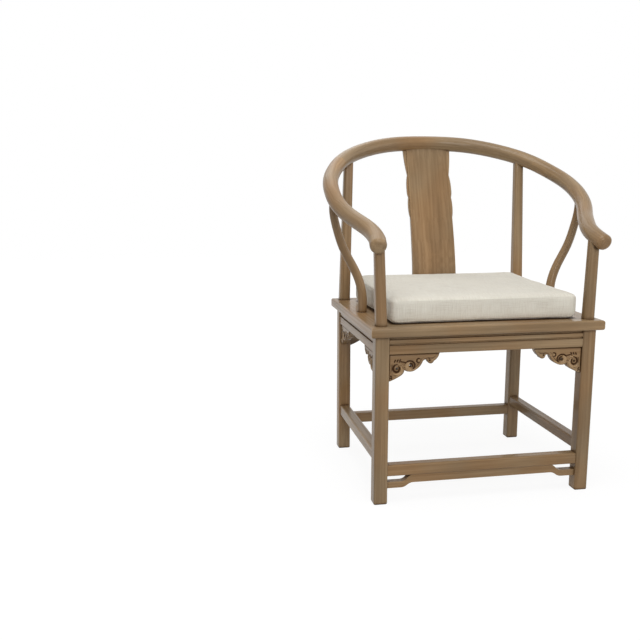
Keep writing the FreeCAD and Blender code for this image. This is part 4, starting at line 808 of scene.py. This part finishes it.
def linen_material(settings):
    """Unbleached linen: a plain weave of uneven threads, thicker slubs that run across, a dull sheen."""
    linen = list(settings.linen) + [1.0]
    slub = list(settings.slub) + [1.0]
    material, tree = new_material("linen_plain_weave")
    place = add(tree, "ShaderNodeTexCoord")["Object"]
    split = add(tree, "ShaderNodeSeparateXYZ", {}, {0: place})
    normal = add(tree, "ShaderNodeNewGeometry")["Normal"]
    face = add(tree, "ShaderNodeSeparateXYZ", {}, {0: normal})
    # One thread direction runs across the chair, the other to the back or up the sides. The threads are drawn
    # coarser than real ones, so that the weave shows.
    threads, waves = [], []
    for axis, steep in (("X", 0.7), ("Z", 0.6)):
        tilt = add(tree, "ShaderNodeMath", {"operation": "ABSOLUTE"}, {0: face[axis]})[0]
        faced = add(tree, "ShaderNodeMath", {"operation": "GREATER_THAN"}, {0: tilt, 1: steep})[0]
        thread = add(tree, "ShaderNodeMix", {}, {0: faced, 2: split[axis], 3: split["Y"]})[0]
        turned = add(
            tree, "ShaderNodeMath", {"operation": "MULTIPLY"},
            {0: thread, 1: 2 * math.pi / settings.thread})[0]
        threads.append(thread)
        waves.append(add(tree, "ShaderNodeMath", {"operation": "SINE"}, {0: turned})[0])
    crossing = add(tree, "ShaderNodeMath", {"operation": "MULTIPLY"}, {0: waves[0], 1: waves[1]})[0]
    # Slubs: thread thickness changes over a few centimetres along each thread.
    cell = add(tree, "ShaderNodeCombineXYZ", {}, {0: threads[0], 1: threads[1], 2: 0.0})[0]
    slubs = drawn_out(tree, cell, (22, 560, 1), 3.0, 0.6)
    stripes = drawn_out(tree, cell, (520, 30, 1), 2.0, 0.5)
    blotch = add(tree, "ShaderNodeTexNoise", {}, {"Vector": place, "Scale": 9.0, "Detail": 3.0})["Fac"]
    share = {}
    for trait, kind, value, start, end, first, last in (
        ("slub", "SMOOTHSTEP", slubs, 0.5, 0.74, 0.0, 0.7),
        ("stripe", "LINEAR", stripes, 0.35, 0.7, 0.0, 0.5),
        ("dip", "LINEAR", crossing, -1.0, 1.0, 0.9, 1.04),
        ("tint", "LINEAR", blotch, 0.3, 0.7, 0.96, 1.03),
    ):
        span = {"Value": value, "From Min": start, "From Max": end, "To Min": first, "To Max": last}
        share[trait] = add(tree, "ShaderNodeMapRange", {"interpolation_type": kind}, span)["Result"]
    colour = linen
    for trait in ("slub", "stripe"):
        colour = add(tree, "ShaderNodeMix", {"data_type": "RGBA"}, {0: share[trait], 6: colour, 7: slub})[2]
    shade = add(tree, "ShaderNodeMath", {"operation": "MULTIPLY"}, {0: share["dip"], 1: share["tint"]})[0]
    colour = add(tree, "ShaderNodeHueSaturation", {}, {"Value": shade, "Color": colour})[0]
    height = add(tree, "ShaderNodeMath", {"operation": "MULTIPLY_ADD"}, {0: slubs, 1: 1.6, 2: crossing})[0]
    weave = add(tree, "ShaderNodeBump", {}, {"Height": height, "Distance": 0.22 * MM, "Strength": 0.8})[0]
    finish = {
        "Base Color": colour, "Roughness": 0.92, "IOR": 1.45, "Sheen Weight": 0.25, "Sheen Roughness": 0.5,
        "Normal": weave}
    shader = add(tree, "ShaderNodeBsdfPrincipled", {}, finish)[0]
    add(tree, "ShaderNodeOutputMaterial", {}, {"Surface": shader})
    return material


def foam_material():
    """Latex foam: pale and matt, speckled by its open cells of about a millimetre."""
    material, tree = new_material("latex_foam_pale")
    place = add(tree, "ShaderNodeTexCoord")["Object"]
    cells = add(tree, "ShaderNodeTexNoise", {}, {"Vector": place, "Scale": 900.0, "Detail": 2.0})["Fac"]
    tone = add(
        tree, "ShaderNodeMix", {"data_type": "RGBA"},
        {0: cells, 6: linear("#EDE6D2"), 7: linear("#D9CFB4")})[2]
    shader = add(tree, "ShaderNodeBsdfPrincipled", {}, {"Base Color": tone, "Roughness": 0.95})[0]
    add(tree, "ShaderNodeOutputMaterial", {}, {"Surface": shader})
    return material


def welt_tree(material):
    """Geometry nodes that run a round welt of sewn linen along a path of edges."""
    tree = bpy.data.node_groups.new("seam_welt", "GeometryNodeTree")
    for name, way, kind in (
        ("Path", "INPUT", "Geometry"), ("Welt radius", "INPUT", "Float"), ("Point spacing", "INPUT", "Float"),
        ("Welt", "OUTPUT", "Geometry"),
    ):
        tree.interface.new_socket(name, in_out=way, socket_type="NodeSocket" + kind)
    given = add(tree, "NodeGroupInput")
    line = add(tree, "GeometryNodeMeshToCurve", {}, {"Mesh": given["Path"]})[0]
    even = add(
        tree, "GeometryNodeResampleCurve", {"mode": "LENGTH"},
        {"Curve": line, "Length": given["Point spacing"]})[0]
    section = add(
        tree, "GeometryNodeCurvePrimitiveCircle", {"mode": "RADIUS"},
        {"Resolution": 8, "Radius": given["Welt radius"]})["Curve"]
    tube = add(
        tree, "GeometryNodeCurveToMesh", {},
        {"Curve": even, "Profile Curve": section, "Fill Caps": True})[0]
    smooth = add(tree, "GeometryNodeSetShadeSmooth", {}, {"Geometry": tube})[0]
    real = add(tree, "GeometryNodeRealizeInstances", {}, {"Geometry": smooth})[0]
    dressed = add(tree, "GeometryNodeSetMaterial", {}, {"Geometry": real, "Material": material})[0]
    add(tree, "NodeGroupOutput", {}, {"Welt": dressed})
    return tree


def seam_paths(pad, low, high, settings):
    """Closed paths on the pad's surface, along the upper and the lower edge of its sides."""
    surface = BVHTree.FromObject(pad, bpy.context.evaluated_depsgraph_get())
    middle = (low + high) / 2
    half_x, half_y = (high.x - low.x) / 2, (high.y - low.y) / 2
    points = []
    for share, sunk in SEAMS:
        ring = pad_ring(half_x, half_y, settings.corner, settings.pull, SEAM_POINTS)
        for x, y in ring:
            rise = share * settings.slope * (y + half_y) / (2 * half_y)
            guess = Vector((middle.x + x, middle.y + y, low.z + share * settings.height + rise))
            place, normal, _, _ = surface.find_nearest(guess)
            points.append(tuple(place - normal * settings.welt * sunk))
    return points, loop_edges([SEAM_POINTS] * len(SEAMS))


class ARMCHAIR_OT_seams(bpy.types.Operator):
    """Run a fine welt along the seams of the cushion's box edges"""
    bl_idname = "armchair.seams"
    bl_label = "Sew the seams"

    def execute(self, context):
        settings = context.scene.armchair_cushion
        low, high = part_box("cushion_cover")
        points, edges = seam_paths(bpy.data.objects["cushion_linen_cover"], low, high, settings)
        mesh = bpy.data.meshes.new("cushion_seams")
        mesh.from_pydata(points, edges, [])
        seams = new_object("cushion_seams", mesh)
        tree = welt_tree(bpy.data.materials["linen_plain_weave"])
        welt = seams.modifiers.new("Welt", "NODES")
        welt.node_group = tree
        sizes = {"Welt radius": settings.welt, "Point spacing": 4.0 * MM}
        for item in tree.interface.items_tree:
            if item.name in sizes:
                welt[item.identifier] = sizes[item.name]
        apply_modifiers(seams)
        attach(seams, "cushion")
        return {"FINISHED"}


class ARMCHAIR_OT_cushion(bpy.types.Operator):
    """Stuff the loose seat cushion and dress it in linen"""
    bl_idname = "armchair.cushion"
    bl_label = "Make the cushion"

    def execute(self, context):
        settings = context.scene.armchair_cushion
        low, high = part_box("cushion_cover")
        pad = new_object("cushion_linen_cover", cushion_mesh(low, high, settings))
        swell(pad, settings, low.z)
        smooth = pad.modifiers.new("Fine mesh", "SUBSURF")
        smooth.levels = 1
        smooth.render_levels = 1
        for polygon in pad.data.polygons:
            polygon.use_smooth = True
        pad.data.materials.append(linen_material(settings))
        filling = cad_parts["cushion_foam"]
        filling.data.materials.clear()
        filling.data.materials.append(foam_material())
        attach(pad, "cushion")
        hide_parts("cushion_cover", "cushion_foam")
        return {"FINISHED"}


# Studio: white paper under a white surround, four softboxes and the camera.

FLOOR_REACH = 6.0
# Where the lamps point, and each lamp's name, place, width and the setting with its power.
AIM = (0, 0, 0.45)
LAMPS = (
    ("overhead_light", (-0.5, -0.5, 2.9), 1.7, "overhead"),
    ("key_light", (-0.2, -2.8, 1.5), 1.4, "key"),
    ("fill_light", (2.9, -1.6, 1.5), 2.2, "fill"),
    ("rim_light", (-0.2, 1.9, 2.6), 1.6, "rim"),
)


def sees_white(tree):
    """One for the rays that show plain white: from the camera, off polish and through glass."""
    path = add(tree, "ShaderNodeLightPath")
    seen = path["Is Camera Ray"]
    for name in ("Is Glossy Ray", "Is Transmission Ray"):
        seen = add(tree, "ShaderNodeMath", {"operation": "MAXIMUM"}, {0: seen, 1: path[name]})[0]
    return seen


def paper_material():
    """White paper: the camera sees it white but for soft shadows, and to the chair it is pale and matt."""
    material, tree = new_material("white_background_paper")
    own = add(tree, "ShaderNodeEmission", {}, {"Color": linear("#FFFFFF"), "Strength": 1.04})[0]
    lit = add(tree, "ShaderNodeBsdfDiffuse", {}, {"Color": linear("#FFFFFF")})[0]
    # Shadows show around the chair and fade out before the paper's edge.
    place = add(tree, "ShaderNodeTexCoord")["Object"]
    away = add(tree, "ShaderNodeVectorMath", {"operation": "LENGTH"}, {0: place})["Value"]
    share = add(
        tree, "ShaderNodeMapRange", {"interpolation_type": "SMOOTHSTEP"},
        {"Value": away, "From Min": 0.35, "From Max": 1.5, "To Min": 0.13, "To Max": 0.0})["Result"]
    shown = add(tree, "ShaderNodeMixShader", {}, {0: share, 1: own, 2: lit})[0]
    matt = add(tree, "ShaderNodeBsdfDiffuse", {}, {"Color": linear("#C8C8C8")})[0]
    mixed = add(tree, "ShaderNodeMixShader", {}, {0: sees_white(tree), 1: matt, 2: shown})[0]
    add(tree, "ShaderNodeOutputMaterial", {}, {"Surface": mixed})
    return material


def white_surround(strength):
    """A world that looks plain white and lights the chair with the given strength."""
    world = bpy.data.worlds.new("white_surround")
    world.use_nodes = True
    tree = world.node_tree
    tree.nodes.clear()
    soft, white = (
        add(tree, "ShaderNodeBackground", {}, {"Color": linear("#FFFFFF"), "Strength": value})[0]
        for value in (strength, 1.0))
    both = add(tree, "ShaderNodeMixShader", {}, {0: sees_white(tree), 1: soft, 2: white})[0]
    add(tree, "ShaderNodeOutputWorld", {}, {"Surface": both})
    return world


class ARMCHAIR_OT_stage(bpy.types.Operator):
    """Set the white studio, its lights and the camera at the photograph's viewpoint"""
    bl_idname = "armchair.stage"
    bl_label = "Set the studio"

    def execute(self, context):
        scene = context.scene
        settings = scene.armchair_studio
        sheet = bpy.data.meshes.new("studio_floor")
        corners = [(x * FLOOR_REACH, y * FLOOR_REACH, 0) for x, y in ((-1, -1), (1, -1), (1, 1), (-1, 1))]
        sheet.from_pydata(corners, [], [(0, 1, 2, 3)])
        sheet.materials.append(paper_material())
        new_object("studio_floor", sheet)
        scene.world = white_surround(settings.sky)
        for name, place, width, setting in LAMPS:
            lamp = bpy.data.lights.new(name, "AREA")
            lamp.size = width
            lamp.energy = getattr(settings, setting)
            softbox = new_object(name, lamp)
            softbox.location = place
            softbox.rotation_euler = (Vector(AIM) - Vector(place)).to_track_quat("-Z", "Y").to_euler()
        optics = bpy.data.cameras.new("photo_camera")
        optics.sensor_width = 36.0
        optics.lens = settings.lens
        camera = new_object("photo_camera", optics)
        camera.location = Vector(settings.eye) + Vector((0, seat_middle(), 0))
        camera.rotation_euler = settings.turn
        scene.camera = camera
        scene.view_settings.view_transform = "Standard"
        return {"FINISHED"}


class ARMCHAIR_PT_panel(bpy.types.Panel):
    """Lists every piece's settings over the button that makes it"""
    bl_idname = "ARMCHAIR_PT_panel"
    bl_label = "Armchair"
    bl_space_type = "VIEW_3D"
    bl_region_type = "UI"
    bl_category = "Armchair"

    def draw(self, context):
        scene = context.scene
        for settings, operator in (
            (scene.armchair_wood, "armchair.wood"),
            (scene.armchair_wood, "armchair.carving"),
            (scene.armchair_cushion, "armchair.cushion"),
            (scene.armchair_cushion, "armchair.seams"),
            (scene.armchair_studio, "armchair.stage"),
        ):
            column = self.layout.column(align=True)
            for name in settings.__annotations__:
                column.prop(settings, name)
            column.operator(operator)


GROUPS = {
    "armchair_wood": ArmchairWood, "armchair_cushion": ArmchairCushion, "armchair_studio": ArmchairStudio}
CLASSES = (
    *GROUPS.values(), ARMCHAIR_OT_wood, ARMCHAIR_OT_carving, ARMCHAIR_OT_cushion, ARMCHAIR_OT_seams,
    ARMCHAIR_OT_stage, ARMCHAIR_PT_panel,
)


def register():
    """Registers the classes and their settings."""
    for item in CLASSES:
        bpy.utils.register_class(item)
    for name, group in GROUPS.items():
        setattr(bpy.types.Scene, name, bpy.props.PointerProperty(type=group))


def unregister():
    """Takes the settings and the classes away again."""
    for name in GROUPS:
        delattr(bpy.types.Scene, name)
    for item in reversed(CLASSES):
        bpy.utils.unregister_class(item)


def main():
    """Dresses the solids piece by piece."""
    register()
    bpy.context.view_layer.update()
    bpy.ops.armchair.wood()
    bpy.ops.armchair.carving()
    bpy.ops.armchair.cushion()
    bpy.ops.armchair.seams()
    bpy.ops.armchair.stage()
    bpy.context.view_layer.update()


if __name__ == "__main__":
    main()
